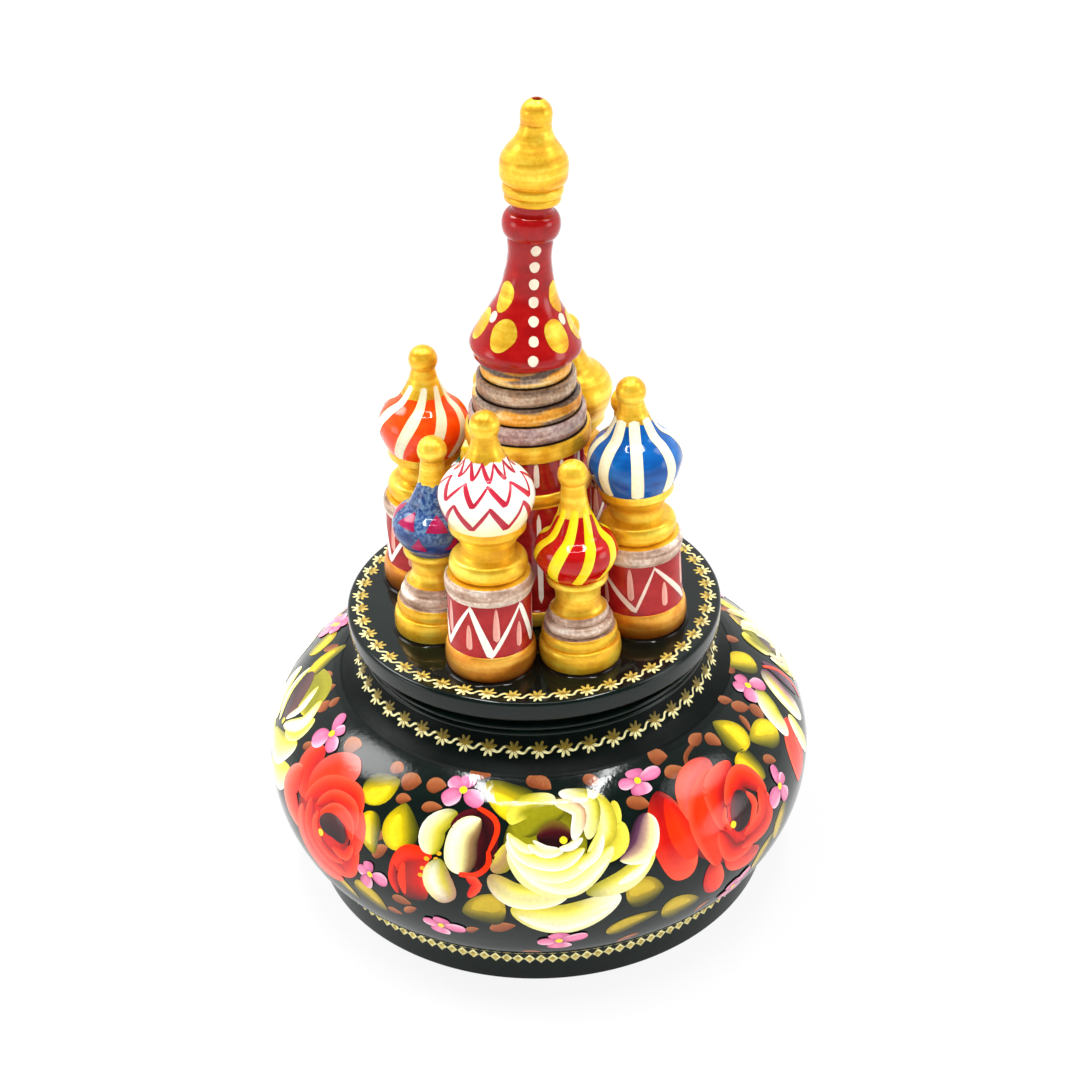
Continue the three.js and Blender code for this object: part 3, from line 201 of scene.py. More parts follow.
def short_zones(dome, gold_from):
    r, h = SHORT_R, SHORT_H
    ball_r = 0.357 * r
    waist = spline(scaled(r, h, (0.62, 0.268), (0.545, 0.304), (0.55, 0.354), (0.62, 0.4)), 14)
    onion = spline(scaled(r, h, (0.7, 0.447), (0.87, 0.488), (0.985, 0.535), (0.985, 0.574), (0.875, 0.62),
                          (0.625, 0.656), (0.48, 0.71), (0.37, 0.76), (0.315, 0.816), (0.285, 0.889)), 72)
    painted, gilded = split_at(onion, gold_from * h)
    return [(GOLD, [(0, -1), (0.94 * r, -1), *bead(0.94 * r, 0, 0.104 * h, 0.06 * r, 14),
                    *bead(0.87 * r, 0.107 * h, 0.166 * h, 0.05 * r)]),
            (SILVER, [*bead(0.77 * r, 0.17 * h, 0.22 * h, 0.06 * r),
                      *bead(0.68 * r, 0.222 * h, 0.263 * h, 0.05 * r)]),
            (GOLD, [*waist, *bead(0.69 * r, 0.404 * h, 0.442 * h, 0.05 * r)]),
            (dome, painted),
            (GOLD, [*gilded, *ball(ball_r, h - ball_r, -37, 20)])]


def drum_zones():
    r = DRUM_R

    def at(share):
        return TOP_Z + share * DRUM_H

    return [(GOLD, [(0, TOP_Z), *bead(1.04 * r, TOP_Z, at(0.09), 0.06 * r)]),
            (DRUM_RED, [(r, at(0.1)), (r, at(0.73))]),
            (GOLD, bead(0.98 * r, at(0.74), at(0.81), 0.06 * r)),
            (DRUM_RED, [(0.9 * r, at(0.82)), (0.9 * r, DRUM_TOP), (0, DRUM_TOP)])]


def stack_zones():
    """Flat rings with dark grooves between them."""
    height = STACK_H / STACK_RINGS
    groove = 0.06 * STACK_FOOT_R
    zones = []
    for i, look in enumerate((GOLD, MAUVE, BRUSHED, TAUPE, TOP_RING)):
        r = STACK_FOOT_R + (STACK_TOP_R - STACK_FOOT_R) * i / (STACK_RINGS - 1) - groove
        low, high = DRUM_TOP + i * height, DRUM_TOP + (i + 0.95) * height
        turn = np.linspace(-pi / 2, pi / 2, 15)
        middle, half = (low + high) / 2, (high - low) / 2
        flat = [(r + groove * cos(t) ** 0.3, middle + half * sin(t)) for t in turn]
        zones += [(UMBER, [(r - 0.1, low)]), (look, flat)]
    zones[0] = (GOLD, [(0, DRUM_TOP)])
    top_r = zones[-1][1][-1][0]
    return zones + [(MAUVE, [(top_r, DRUM_TOP + STACK_H), (0, DRUM_TOP + STACK_H)])]


def spire_outline():
    r, h = SPIRE_R, SPIRE_H
    bell = spline(scaled(r, h, (0.96, 0.019), (1, 0.081), (0.735, 0.256), (0.565, 0.365), (0.465, 0.474),
                         (0.388, 0.631), (0.4, 0.747)), 54)
    ring = bead(0.388 * r, 0.779 * h, 0.945 * h, 0.128 * r, 16)
    return [(0, -2), (0.92 * r, -2), (0.92 * r, 0), *bell, *ring,
            *scaled(r, h, (0.36, 0.958), (0.36, 1), (0, 1))]


def finial_zones():
    f, top = FINIAL_R, FINIAL_H
    ball_r = 0.462 * f
    onion = spline(scaled(f, top, (0.86, 0.182), (0.97, 0.232), (0.995, 0.323), (0.985, 0.404),
                          (0.925, 0.46), (0.79, 0.53), (0.61, 0.606), (0.49, 0.682), (0.447, 0.753)), 56)
    groove = scaled(f, top, (0.435, 0.763), (0.455, 0.775))
    rim = HOLE_R * 1.15
    knob = [p for p in ball(ball_r, top - ball_r, -8, 22) if p[0] > rim]
    lip = top - ball_r + math.sqrt(ball_r**2 - rim**2)
    foot = [*bead(0.77 * f, 0, 0.076 * top, 0.06 * f), *bead(0.83 * f, 0.081 * top, 0.172 * top, 0.06 * f)]
    bore = HOLE_R * 0.98
    return [(GOLD, [(0, 0), *foot, *onion, *groove, *knob, (rim, lip)]),
            (CLAY_HOLE, [(bore, lip - 0.2), (bore, top - HOLE_DEPTH), (0, top - HOLE_DEPTH)])]


# Materials

def linear(hex_colour):
    value = np.array([int(hex_colour[i:i + 2], 16) / 255 for i in (0, 2, 4)])
    return np.where(value <= 0.04045, value / 12.92, ((value + 0.055) / 1.055) ** 2.4)


def add_node(tree, kind, inputs, **settings):
    """A node with its settings. Each input is a value or the output of another node."""
    node = tree.nodes.new(kind)
    for key, value in settings.items():
        setattr(node, key, value)
    for key, value in inputs.items():
        if isinstance(value, bpy.types.NodeSocket):
            tree.links.new(value, node.inputs[key])
        else:
            node.inputs[key].default_value = value
    return node


def combine(tree, how, a, b):
    """The output of one step of arithmetic."""
    return add_node(tree, "ShaderNodeMath", {0: a, 1: b}, operation=how).outputs[0]


class Look:
    """A Principled material and short ways to add its nodes. Patterns follow the piece's coordinates."""

    def __init__(self, name, colour="808080", roughness=0.4, metallic=0.0, specular=0.5):
        self.material = bpy.data.materials.new(name)
        self.material.use_nodes = True
        self.tree = self.material.node_tree
        self.shader = self.tree.nodes["Principled BSDF"]
        self.set("Base Color", (*linear(colour), 1))
        self.set("Roughness", roughness)
        self.set("Metallic", metallic)
        self.set("Specular IOR Level", specular)
        self.place = self.tree.nodes.new("ShaderNodeTexCoord").outputs["Object"]

    def set(self, socket, value):
        self.shader.inputs[socket].default_value = value

    def drive(self, socket, output):
        self.tree.links.new(output, self.shader.inputs[socket])

    def node(self, kind, inputs, **settings):
        return add_node(self.tree, kind, inputs, **settings)

    def pigment(self):
        """The colour that the points of a painted piece carry."""
        return self.node("ShaderNodeAttribute", {}, attribute_name="pigment").outputs["Color"]

    def noise(self, scale, detail=2.0, stretch=(1, 1, 1), rough=0.55):
        place = self.node("ShaderNodeMapping", {"Vector": self.place, "Scale": stretch}).outputs[0]
        return self.node("ShaderNodeTexNoise", {"Vector": place, "Scale": scale, "Detail": detail,
                                                "Roughness": rough}).outputs["Fac"]

    def ramp(self, factor, *stops):
        node = self.node("ShaderNodeValToRGB", {"Fac": factor})
        elements = node.color_ramp.elements
        while len(elements) < len(stops):
            elements.new(0.5)
        for element, (position, colour) in zip(elements, stops):
            element.position = position
            element.color = (*linear(colour), 1)
        return node.outputs["Color"]

    def spread(self, factor, low, high, start=0.3, end=0.7):
        return self.node("ShaderNodeMapRange", {"Value": factor, "From Min": start, "From Max": end,
                                                "To Min": low, "To Max": high}).outputs["Result"]

    def height(self, low, high):
        """0 below a height of the frame and 1 above another, in millimetres."""
        z = self.node("ShaderNodeSeparateXYZ", {0: self.place}).outputs["Z"]
        return self.spread(z, 0, 1, low * MM, high * MM)

    def sum(self, a, b, share):
        """A mix of two values. Sockets 2 and 3 of the Mix node are its values, 6 and 7 its colours."""
        return self.node("ShaderNodeMix", {0: share, 2: a, 3: b}).outputs[0]

    def blend(self, a, b, factor, how="MIX"):
        node = self.node("ShaderNodeMix", {0: factor, 6: a, 7: b}, data_type="RGBA", blend_type=how)
        return node.outputs[2]

    def bump(self, height, depth_mm, strength):
        inputs = {"Height": height, "Distance": depth_mm * MM, "Strength": strength}
        self.drive("Normal", self.node("ShaderNodeBump", inputs).outputs["Normal"])


GLOSSY, SILKY, SATIN = (0.05, 0.1), (0.08, 0.14), (0.3, 0.38)


def lacquered(look, roughness=GLOSSY):
    """The clear lacquer over every painted surface, with a slight hand-brushed wave."""
    look.drive("Roughness", look.spread(look.noise(420, 3), *roughness))
    look.bump(look.sum(look.noise(260, 2), look.noise(900, 1), 0.6), 0.06, 0.55)
    return look.material


def lacquer(name, dark, mid, light, scale=380, specular=0.4, roughness=GLOSSY):
    look = Look(name, mid, specular=specular)
    mottle = look.sum(look.noise(scale, 4), look.noise(90, 2, (1, 1, 6)), 0.45)
    look.drive("Base Color", look.ramp(mottle, (0.32, dark), (0.5, mid), (0.68, light)))
    return lacquered(look, roughness)


def scumbled(name, tones, dry):
    """Lacquer with a paler colour dragged over the upper half of a short dome by a dry brush."""
    look = Look(name)
    base = look.ramp(look.noise(220, 4), *zip((0.32, 0.5, 0.68), tones))
    upper = look.height(TOP_Z + 20, TOP_Z + 27)
    patch = look.spread(look.sum(look.noise(160, 1), upper, 0.35), 0, 1, 0.5, 0.78)
    speck = look.spread(look.noise(1300, 2), 0, 0.65, 0.42, 0.62)
    both = combine(look.tree, "MULTIPLY", patch, speck)
    look.drive("Base Color", look.blend(base, (*linear(dry), 1), both))
    return lacquered(look)


def brush_paint(name):
    look = Look(name, specular=0.32)
    grain = look.ramp(look.noise(1100, 2), (0.3, "f1f1ec"), (0.7, "ffffff"))
    look.drive("Base Color", look.blend(look.pigment(), grain, 1.0, "MULTIPLY"))
    return lacquered(look)


def metal_paint(name, dark, mid, light, metallic=0.5, rings=0.86, foot=None):
    """Metallic paint brushed on while the piece turned: glitter, faint rings and, where a foot colour is
    given, painted shade that darkens it towards the bottom.
    """
    look = Look(name, metallic=metallic)
    grain = look.noise(1400, 1)
    ring = look.noise(1, 2, (45, 45, 600))
    wave = look.sum(ring, look.noise(200, 2), 0.35)
    colour = look.ramp(look.sum(grain, wave, rings), (0.38, dark), (0.5, mid), (0.62, light))
    # A foot colour is painted shade: darkest at the table top and gone 5.2 mm above it
    if foot:
        colour = look.blend((*linear(foot), 1), colour, look.height(TOP_Z, TOP_Z + 5.2))
    look.drive("Base Color", colour)
    look.drive("Roughness", look.spread(grain, 0.29, 0.36))
    look.bump(wave, 0.02, 0.3)
    return look.material


def bare_metal(name, dark, light, roughness):
    look = Look(name, light, metallic=1.0)
    scratch = look.noise(1, 3, (900, 900, 900))
    look.drive("Base Color", look.ramp(scratch, (0.35, dark), (0.65, light)))
    look.drive("Roughness", look.spread(scratch, roughness * 0.8, roughness * 1.25))
    return look.material


def foil(name, metallic=0.2):
    look = Look(name, metallic=metallic)
    crumple = look.noise(1200, 1)
    shade = look.ramp(crumple, (0.3, "d2cab4"), (0.55, "ffffff"))
    look.drive("Base Color", look.blend(look.pigment(), shade, 1.0, "MULTIPLY"))
    look.drive("Roughness", look.spread(crumple, 0.28, 0.42))
    look.bump(crumple, 0.02, 0.3)
    return look.material


def wood(name):
    look = Look(name, "c9a06a")
    grain = look.noise(1, 4, (60, 900, 60))
    look.drive("Base Color", look.ramp(grain, (0.3, "a97b45"), (0.5, "c9a06a"), (0.7, "dcbc8a")))
    look.drive("Roughness", look.spread(grain, 0.5, 0.7))
    look.bump(grain, 0.06, 0.4)
    return look.material


def brushed_stack(name, share):
    """Gold and grey paint worked into each other with a loaded brush. Share is how much of it is grey."""
    look = Look(name, metallic=0.4)
    grain = look.sum(look.noise(1400, 1), look.noise(1, 2, (50, 50, 700)), 0.7)
    sweep = look.noise(1, 2, (60, 60, 420), 0.4)
    gold = look.ramp(grain, (0.36, "d08418"), (0.5, "f0ac36"), (0.64, "fbdc98"))
    grey = look.ramp(grain, (0.36, "523f34"), (0.5, "86705f"), (0.64, "bba794"))
    edge = look.spread(sweep, 0, 1, 0.64 - 0.3 * share, 0.7 - 0.3 * share)
    look.drive("Base Color", look.blend(gold, grey, edge))
    look.drive("Roughness", look.spread(grain, 0.28, 0.45))
    look.bump(look.sum(grain, sweep, 0.4), 0.04, 0.4)
    return look.material


def cream_lacquer(name):
    """White lacquer, turning pale yellow towards the foot of the dome as painted warm shade."""
    look = Look(name)
    shaded_yellow = look.ramp(look.noise(380, 3), (0.35, "f8ecae"), (0.65, "fcf3c4"))
    white = look.ramp(look.noise(380, 3), (0.35, "fdf8ea"), (0.65, "fffdf6"))
    # Painted shade: pale yellow at the dome's foot, white above
    look.drive("Base Color", look.blend(shaded_yellow, white, look.height(TOP_Z + 33.5, TOP_Z + 39.5)))
    return lacquered(look)


BLACK = lacquer("black_lacquer", "040c0a", "06130f", "0a1a14", specular=0.29)
# Painted shade: the shoulder's and the neck's lacquer is darker and reflects less than the belly's
SHOULDER_BLACK = lacquer("shoulder_lacquer", "040b09", "06110e", "0a1813", specular=0.2, roughness=SILKY)
NECK_BLACK = lacquer("neck_lacquer", "030706", "050c0a", "08120e", specular=0.07, roughness=SATIN)
RED = lacquer("red_lacquer", "8a0406", "9f0608", "ac110f")
DRUM_RED = lacquer("drum_lacquer", "8c1416", "a31a1c", "b02624")
GOLD = metal_paint("gold_paint", "de9c1c", "f6c02a", "ffe154")
# Orange gold for the tall towers' base bead, with painted shade at its foot
WARM_GOLD = metal_paint("warm_gold_paint", "c8741a", "e29628", "f4bc4a", foot="8c3c08")
SILVER = metal_paint("silver_paint", "8a6852", "c4a48e", "f6eadc", 0.3, rings=0.8)
MAUVE = metal_paint("mauve_paint", "695052", "a48786", "d2c0b8", 0.3, rings=0.75)
TAUPE = metal_paint("taupe_paint", "6c503e", "a88a70", "d6c2aa", 0.3, rings=0.75)
UMBER = metal_paint("umber_glaze", "1c120d", "2c1d16", "4b382c")
BRUSHED = brushed_stack("brushed_stack_paint", 0.5)
TOP_RING = brushed_stack("top_ring_paint", 0.2)
CREAM = cream_lacquer("cream_lacquer")
CRIMSON = lacquer("crimson_lacquer", "a00308", "b40509", "c00e12")
BLUE = lacquer("blue_lacquer", "053a7e", "0858a6", "1470be", 220)
PLUM = lacquer("plum_lacquer", "4d1238", "651b4b", "7a2a5e")
GREEN = lacquer("green_lacquer", "0e4a24", "17662f", "257f40")
ORANGE = lacquer("orange_lacquer", "ee3a02", "fb4602", "ff5a0c")
INDIGO = scumbled("indigo_lacquer", ("142758", "223f7a", "30568e"), "86a9c4")
CLAY_HOLE = lacquer("drilled_hole", "8a3314", "a5451d", "b85a2c")
PIGMENT = brush_paint("brush_paint")
FOIL, BAND_FOIL = foil("gold_foil"), foil("band_foil", 0.85)
GLUE = lacquer("dried_glue", "0c0906", "15100a", "20180e", specular=0.12)
WOOD = wood("sanded_wood")
STEEL = bare_metal("bright_steel", "8d9196", "c2c5c8", 0.3)
BLUED = bare_metal("blued_steel", "2c3440", "4a586a", 0.3)
ZINC = bare_metal("cast_zinc", "80858a", "a5aaae", 0.48)
BRASS = bare_metal("turned_brass", "a87f2e", "d2ab57", 0.3)


# Turned pieces, with more sides for the larger ones

POT_SIDES, CENTRE_SIDES, FINIAL_SIDES, TOWER_SIDES = 240, 96, 80, 72
SHARP_DEGREES = 34


def to_frame(points, matrix):
    return points @ matrix[:3, :3].T + matrix[:3, 3]


def add_object(name, data):
    made = bpy.data.objects.new(name, data)
    bpy.context.scene.collection.objects.link(made)
    return made


def add_piece(name, points, faces, looks, indices, body, replaced=()):
    mesh = bpy.data.meshes.new(name)
    mesh.from_pydata((np.asarray(points) * MM).tolist(), [], faces)
    for look in looks:
        mesh.materials.append(look)
    mesh.polygons.foreach_set("material_index", np.asarray(indices, np.int32))
    mesh.polygons.foreach_set("use_smooth", np.ones(len(faces), bool))
    piece = add_object(name, mesh)
    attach(piece, body)
    if replaced:
        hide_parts(*replaced)
    return piece


def turned_piece(name, zones, sides, body, replaced=(), matrix=np.eye(4), floor=None):
    """Lathe of zones [(look, outline)] that follow one another. A piece cut off at floor is flat there."""
    outline, zone_of = [], []
    for i, (_, points) in enumerate(zones):
        outline += [np.array(p, float) for p in points]
        zone_of += [i] * len(points)
    turns = np.arange(sides) * 2 * pi / sides
    points, rings = [], []
    for r, z in outline:
        if r < 1e-6:
            rings.append([len(points)] * sides)
            points.append((0, 0, z))
        else:
            rings.append(list(range(len(points), len(points) + sides)))
            points += [(r * cos(t), r * sin(t), z) for t in turns]
    faces, indices = [], []
    for k, (low, high) in enumerate(zip(rings, rings[1:])):
        for i in range(sides):
            j = (i + 1) % sides
            corners = [low[i], low[j], high[j], high[i]]
            face = [c for n, c in enumerate(corners) if c not in corners[:n]]
            if len(face) > 2:
                faces.append(face)
                indices.append(zone_of[k + 1])
    placed = to_frame(np.array(points), matrix)
    if floor is not None:
        placed[:, 2] = np.maximum(placed[:, 2], floor)
    piece = add_piece(name, placed, faces, [look for look, _ in zones], indices, body, replaced)
    piece.data.set_sharp_from_angle(angle=radians(SHARP_DEGREES))


def add_turning(node, zones, sides, matrix=np.eye(4), floor=None):
    """The smooth piece on the turntable that stands for one solid."""
    turned_piece(node + "_turning", zones, sides, "turntable", (node,), matrix, floor)


def placed_at(x, y, z, turn=0.0, lean=0.0):
    leaning = Matrix.Rotation(turn, 4, "Z") @ Matrix.Rotation(radians(lean), 4, "Y")
    return np.array(Matrix.Translation((x, y, z)) @ leaning)


class Turned:
    """A turned surface to paint on, from its outline: a spot is an angle and a run along the outline."""

    def __init__(self, outline, matrix=np.eye(4)):
        self.outline = np.array([p for p in outline if p[0] > 1e-6], float)
        self.matrix = matrix
        steps = np.diff(self.outline, axis=0)
        lengths = np.maximum(np.hypot(*steps.T), 1e-9)
        self.runs = np.concatenate([[0], np.cumsum(lengths)])
        sides = np.stack([steps[:, 1], -steps[:, 0]], 1) / lengths[:, None]
        normals = np.concatenate([sides[:1], (sides[1:] + sides[:-1]) / 2, sides[-1:]])
        self.normals = normals / np.linalg.norm(normals, axis=1)[:, None]

    def run_at(self, z):
        return float(np.interp(z, self.outline[:, 1], self.runs))

    def radius(self, run):
        return np.interp(run, self.runs, self.outline[:, 0])

    def place(self, turn, run, lift):
        r, z = (np.interp(run, self.runs, self.outline[:, k]) for k in (0, 1))
        nr, nz = (np.interp(run, self.runs, self.normals[:, k]) for k in (0, 1))
        size = np.hypot(nr, nz)
        nr, nz = nr / size, nz / size
        out, up = r + nr * lift, z + nz * lift
        points = np.stack([out * np.cos(turn), out * np.sin(turn), up], -1)
        normals = np.stack([nr * np.cos(turn), nr * np.sin(turn), nz], -1)
        return to_frame(points, self.matrix), normals @ self.matrix[:3, :3].T

    def facing(self):
        """The angle round this surface that faces the camera."""
        inverse = np.linalg.inv(self.matrix)
        x, y, _ = to_frame(np.array([CAMERA_AT]), inverse)[0]
        return math.atan2(y, x)


# Brush paint

# Length of a stroke's facets, rise from one stroke to the next, unevenness of the pigment, least share of
# the width, and how far the pigment of an end reaches into the stroke
STROKE_STEP, LAYER, STREAK, NARROWEST, END_REACH = 0.55, 0.006, 0.09, 0.03, 0.4
PLAIN = (None, None)


class Spot:
    """Where a motif is painted: its place on the surface, its turn, size and mirroring."""

    def __init__(self, turn, run, spin=0.0, size=1.0, flip=1, lift=0.03):
        self.turn, self.run, self.size, self.flip, self.lift = turn, run, size, flip, lift
        c, s = cos(radians(spin)), sin(radians(spin))
        self.spin = np.array([[c, -s], [s, c]])

    def on(self, surface, points):
        flat = (np.array(points, float) * (self.flip, 1)) @ self.spin.T * self.size
        run = self.run + flat[:, 1]
        return self.turn + flat[:, 0] / surface.radius(run), run

    def raised(self):
        self.lift += LAYER
        return self.lift


class Paint:
    """Strokes on one turned surface, gathered into one thin piece."""

    def __init__(self, surface):
        self.surface = surface
        self.points, self.normals, self.pigment, self.faces = [], [], [], []
        self.count = 0

    def sheet(self, turn, run, lift, pigment):
        points, normals = self.surface.place(turn, run, lift)
        n, m = turn.shape
        index = np.arange(n * m).reshape(n, m) + self.count
        corners = [index[:-1, :-1], index[1:, :-1], index[1:, 1:], index[:-1, 1:]]
        across = np.cross(points[1:, :-1] - points[:-1, :-1], points[:-1, 1:] - points[:-1, :-1])
        if (across * normals[:-1, :-1]).sum() < 0:
            corners.reverse()
        self.faces += np.stack([c.ravel() for c in corners], 1).tolist()
        self.points.append(points.reshape(-1, 3))
        self.normals.append(normals.reshape(-1, 3))
        self.pigment.append(np.broadcast_to(pigment, (n, m, 3)).reshape(-1, 3))
        self.count += n * m

    def ribbon(self, turn, run, half, pigments, swell, lift, ends=PLAIN, ridge=0.0, wobble=0.05, taper=1.0):
        """One stroke along a path. Pigments run from its right side to its left; swell shapes its ends."""
        r = self.surface.radius(run)
        along = np.stack([np.gradient(turn) * r, np.gradient(run)], 1)
        along /= np.maximum(np.linalg.norm(along, axis=1), 1e-9)[:, None]
        t = np.concatenate([[0], np.cumsum(np.hypot(np.diff(turn) * (r[1:] + r[:-1]) / 2, np.diff(run)))])
        t /= t[-1]
        a, b = swell
        peak = (a / (a + b)) ** a * (b / (a + b)) ** b if a + b else 1
        width = half * taper * np.maximum(t**a * (1 - t) ** b / peak, NARROWEST)
        width *= 1 + wobble * np.sin(t * rng.uniform(5, 9) + rng.uniform(0, 6))
        lanes = max(5, int(2 * half / STROKE_STEP) + 2)
        v = np.linspace(-1, 1, lanes)
        offset = width[:, None] * v
        turns = turn[:, None] - along[:, 1:] * offset / r[:, None]
        runs = run[:, None] + along[:, :1] * offset
        stops = np.array([linear(c) for c in pigments])
        at = np.linspace(-1, 1, len(stops))
        across = np.stack([np.interp(v, at, stops[:, k]) for k in range(3)], 1)
        pigment = np.repeat(across[None], len(t), 0)
        for away, colour in zip((t, 1 - t), ends):
            if colour:
                share = (np.clip(1 - away / END_REACH, 0, 1) ** 1.3)[:, None, None]
                pigment = pigment * (1 - share) + linear(colour) * share
        streak = np.convolve(rng.normal(0, STREAK, lanes + 2), (0.25, 0.5, 0.25), "valid")
        pigment = np.clip(pigment * (1 + streak[None, :, None]), 0, 1)
        self.sheet(turns, runs, lift + ridge * (1 - v**2)[None] * np.ones_like(turns), pigment)

    def stroke(self, spot, points, half, pigments, ends=PLAIN, swell=(0.5, 0.5), ridge=0.0):
        points = np.array(points, float)
        length = np.hypot(*np.diff(points, axis=0).T).sum() * spot.size
        steps = max(10, int(length / STROKE_STEP))
        fine = spline(points, 60)
        share = (1 - np.cos(np.linspace(0, pi, steps + 1))) / 2
        path = np.stack([np.interp(share, np.linspace(0, 1, 61), fine[:, k]) for k in (0, 1)], 1)
        turn, run = spot.on(self.surface, path)
        pigments = pigments[::-1] if spot.flip < 0 else pigments
        self.ribbon(turn, run, half * spot.size, pigments, swell, spot.raised(), ends, ridge)

    def piece(self, name, body, slot, look=None, follow=True):
        points = np.concatenate(self.points)
        piece = add_piece(name, points, self.faces, [look or PIGMENT], [0] * len(self.faces), body)
        mesh = piece.data
        colours = np.concatenate([np.concatenate(self.pigment), np.ones((self.count, 1))], 1)
        layer = mesh.color_attributes.new("pigment", "FLOAT_COLOR", "POINT")
        layer.data.foreach_set("color", colours.astype(np.float32).ravel())
        if follow:
            mesh.normals_split_custom_set_from_vertices(np.concatenate(self.normals).tolist())


# Garland motifs. Points are millimetres right and up from the spot.

IVORY, CREAMY, LEMON, STRAW = "fffbe2", "fbf2a4", "f2e350", "d9c93c"
MUSTARD, OLIVE, MOSS, HEART, WINE, DUSK = "b8aa2e", "8f8a12", "4b470c", "21070b", "4a0d16", "5d3550"
SCARLET, VERMILION, RUBY, SALMON, MAROON = "ff3206", "f63212", "cf140e", "fb5638", "7a0e12"
PINK, ROSE, BLUSH, GOLDEN = "ec82aa", "c85c8c", "f9c4d8", "ffd92b"
LEAF_TONES = ("efd322", "e2c208", "b8a20a", "6e690d", "26280a")
# Darker, duller tones for leaves below the waist: painted shade
SHADED_LEAF_TONES = ("ccae2a", "bb9d20", "968219", "5b5514", "26270c")
CLAY, CLAY_DARK, PEACH = "9a512b", "75391b", "b06c42"
WHITE, SHELL = "fff8ee", "e39a8e"
LEAF_BEND = 0.6


def dot(x, y, r, colour, tall=1.0):
    """The row of a dot in a table of strokes."""
    return [(x, y - r * tall), (x, y), (x, y + r * tall)], r, [colour, colour]


# Each row is a stroke: its points, half its width, its pigments from right to left and, where they differ
# from a plain stroke's, the pigments of its ends and the swell of its ends

# Cream rose, seen from the front
CREAM_ROSE = (
    ([(-8, 4), (-2, 0), (6, -3)], 8.5, [MOSS, OLIVE, OLIVE, MOSS]),
    ([(-9.5, -14.5), (1, -17.8), (12.5, -13.5)], 3.9,
     [CREAMY, IVORY, CREAMY, LEMON, MUSTARD], (STRAW, IVORY)),
    ([(-8, -16.5), (1, -19.6), (10.5, -16)], 1.2, [IVORY, IVORY, CREAMY]),
    ([(-13.6, -7.6), (-8, -11.6), (2, -11.4)], 2.9,
     [IVORY, CREAMY, CREAMY, LEMON, MUSTARD], ("b08a5a", None)),
    ([(5.5, -11.6), (13.5, -10.3), (20, -6.2)], 2.3, [CREAMY, CREAMY, LEMON, MUSTARD], (OLIVE, LEMON)),
    ([(12, -10.8), (16.5, -9.2), (19, -7)], 0.9, [IVORY, IVORY, CREAMY]),
    ([(12.6, -6.2), (17.3, -4.4), (19.2, 1.4)], 3.2,
     [IVORY, CREAMY, "c9a08e", DUSK, "2c1622"], PLAIN, (0.7, 0.5)),
    ([(-13, -6.5), (-10.5, -4.5), (-9, -1)], 2.0, [OLIVE, "b08a5a", STRAW], ("b08a5a", None)),
    ([(9, -5.8), (13, -2.8), (13.4, 1.2)], 1.7, [LEMON, LEMON, STRAW, MUSTARD]),
    ([(9.2, -1.5), (12, 2), (12.3, 5.6)], 1.5, [LEMON, STRAW, MUSTARD], (OLIVE, None)),
    ([(3, 9.2), (9, 6), (10.4, 0), (6.2, -4)], 2.0, [LEMON, CREAMY, STRAW, MUSTARD], (OLIVE, None)),
    ([(-9.4, -2.6), (-5, -7.6), (3, -9.2), (11.4, -3.2)], 2.7, [CREAMY, CREAMY, CREAMY, LEMON, MUSTARD]),
    ([(-8.6, -4.2), (-4, -8.8), (3, -10.6), (10.4, -5.4)], 0.8, [IVORY, IVORY, CREAMY]),
    ([(-9.6, -0.6), (-6, -5), (1, -7), (8.6, -3.4)], 1.9, [IVORY, CREAMY, LEMON, MUSTARD]),
    ([(4, -6.2), (7.6, -4.2), (9.4, -0.4)], 1.1, [IVORY, IVORY, CREAMY, LEMON]),
    ([(-9.2, 1), (-6.4, -3.2), (0.5, -4.8), (5.6, -2.6)], 1.7, [IVORY, CREAMY, LEMON, MUSTARD]),
    ([(-8.6, 0.2), (-6.6, -1.6), (-4, -2.6)], 0.9, [IVORY, CREAMY, LEMON]),
    ([(-5.4, -1.2), (-2.4, -2.8), (1.6, -2.6)], 1.0, [IVORY, CREAMY, STRAW]),
    ([(-8.8, 2.8), (-6, 6), (0.6, 8)], 2.4, [OLIVE, OLIVE, STRAW, OLIVE], (LEMON, CREAMY)),
    ([(-6, 0.6), (-2.4, 4), (2, 5)], 2.2, [MOSS, OLIVE, OLIVE]),
    ([(1.4, 9), (7.4, 6), (6.6, -1)], 1.9, [IVORY, CREAMY, LEMON, OLIVE], (IVORY, CREAMY)),
    ([(-3.6, 0.2), (0, 0.6), (3.4, 0)], 2.7, [HEART, HEART, WINE, "6d5a18"]),
    ([(0.2, 7.2), (5, 4.6), (3.6, -0.8)], 1.5, [IVORY, CREAMY, "e8c79c", "a4764f"], ("e8d9a0", IVORY)),
    ([(0.6, -2.2), (3, -2), (5.4, -0.6)], 0.8, [IVORY, IVORY, CREAMY]),
    ([(-4.4, -0.4), (-2, -2), (0.6, -2.2)], 0.6, [CREAMY, IVORY]),
    dot(1.6, -0.6, 0.75, GOLDEN),
)

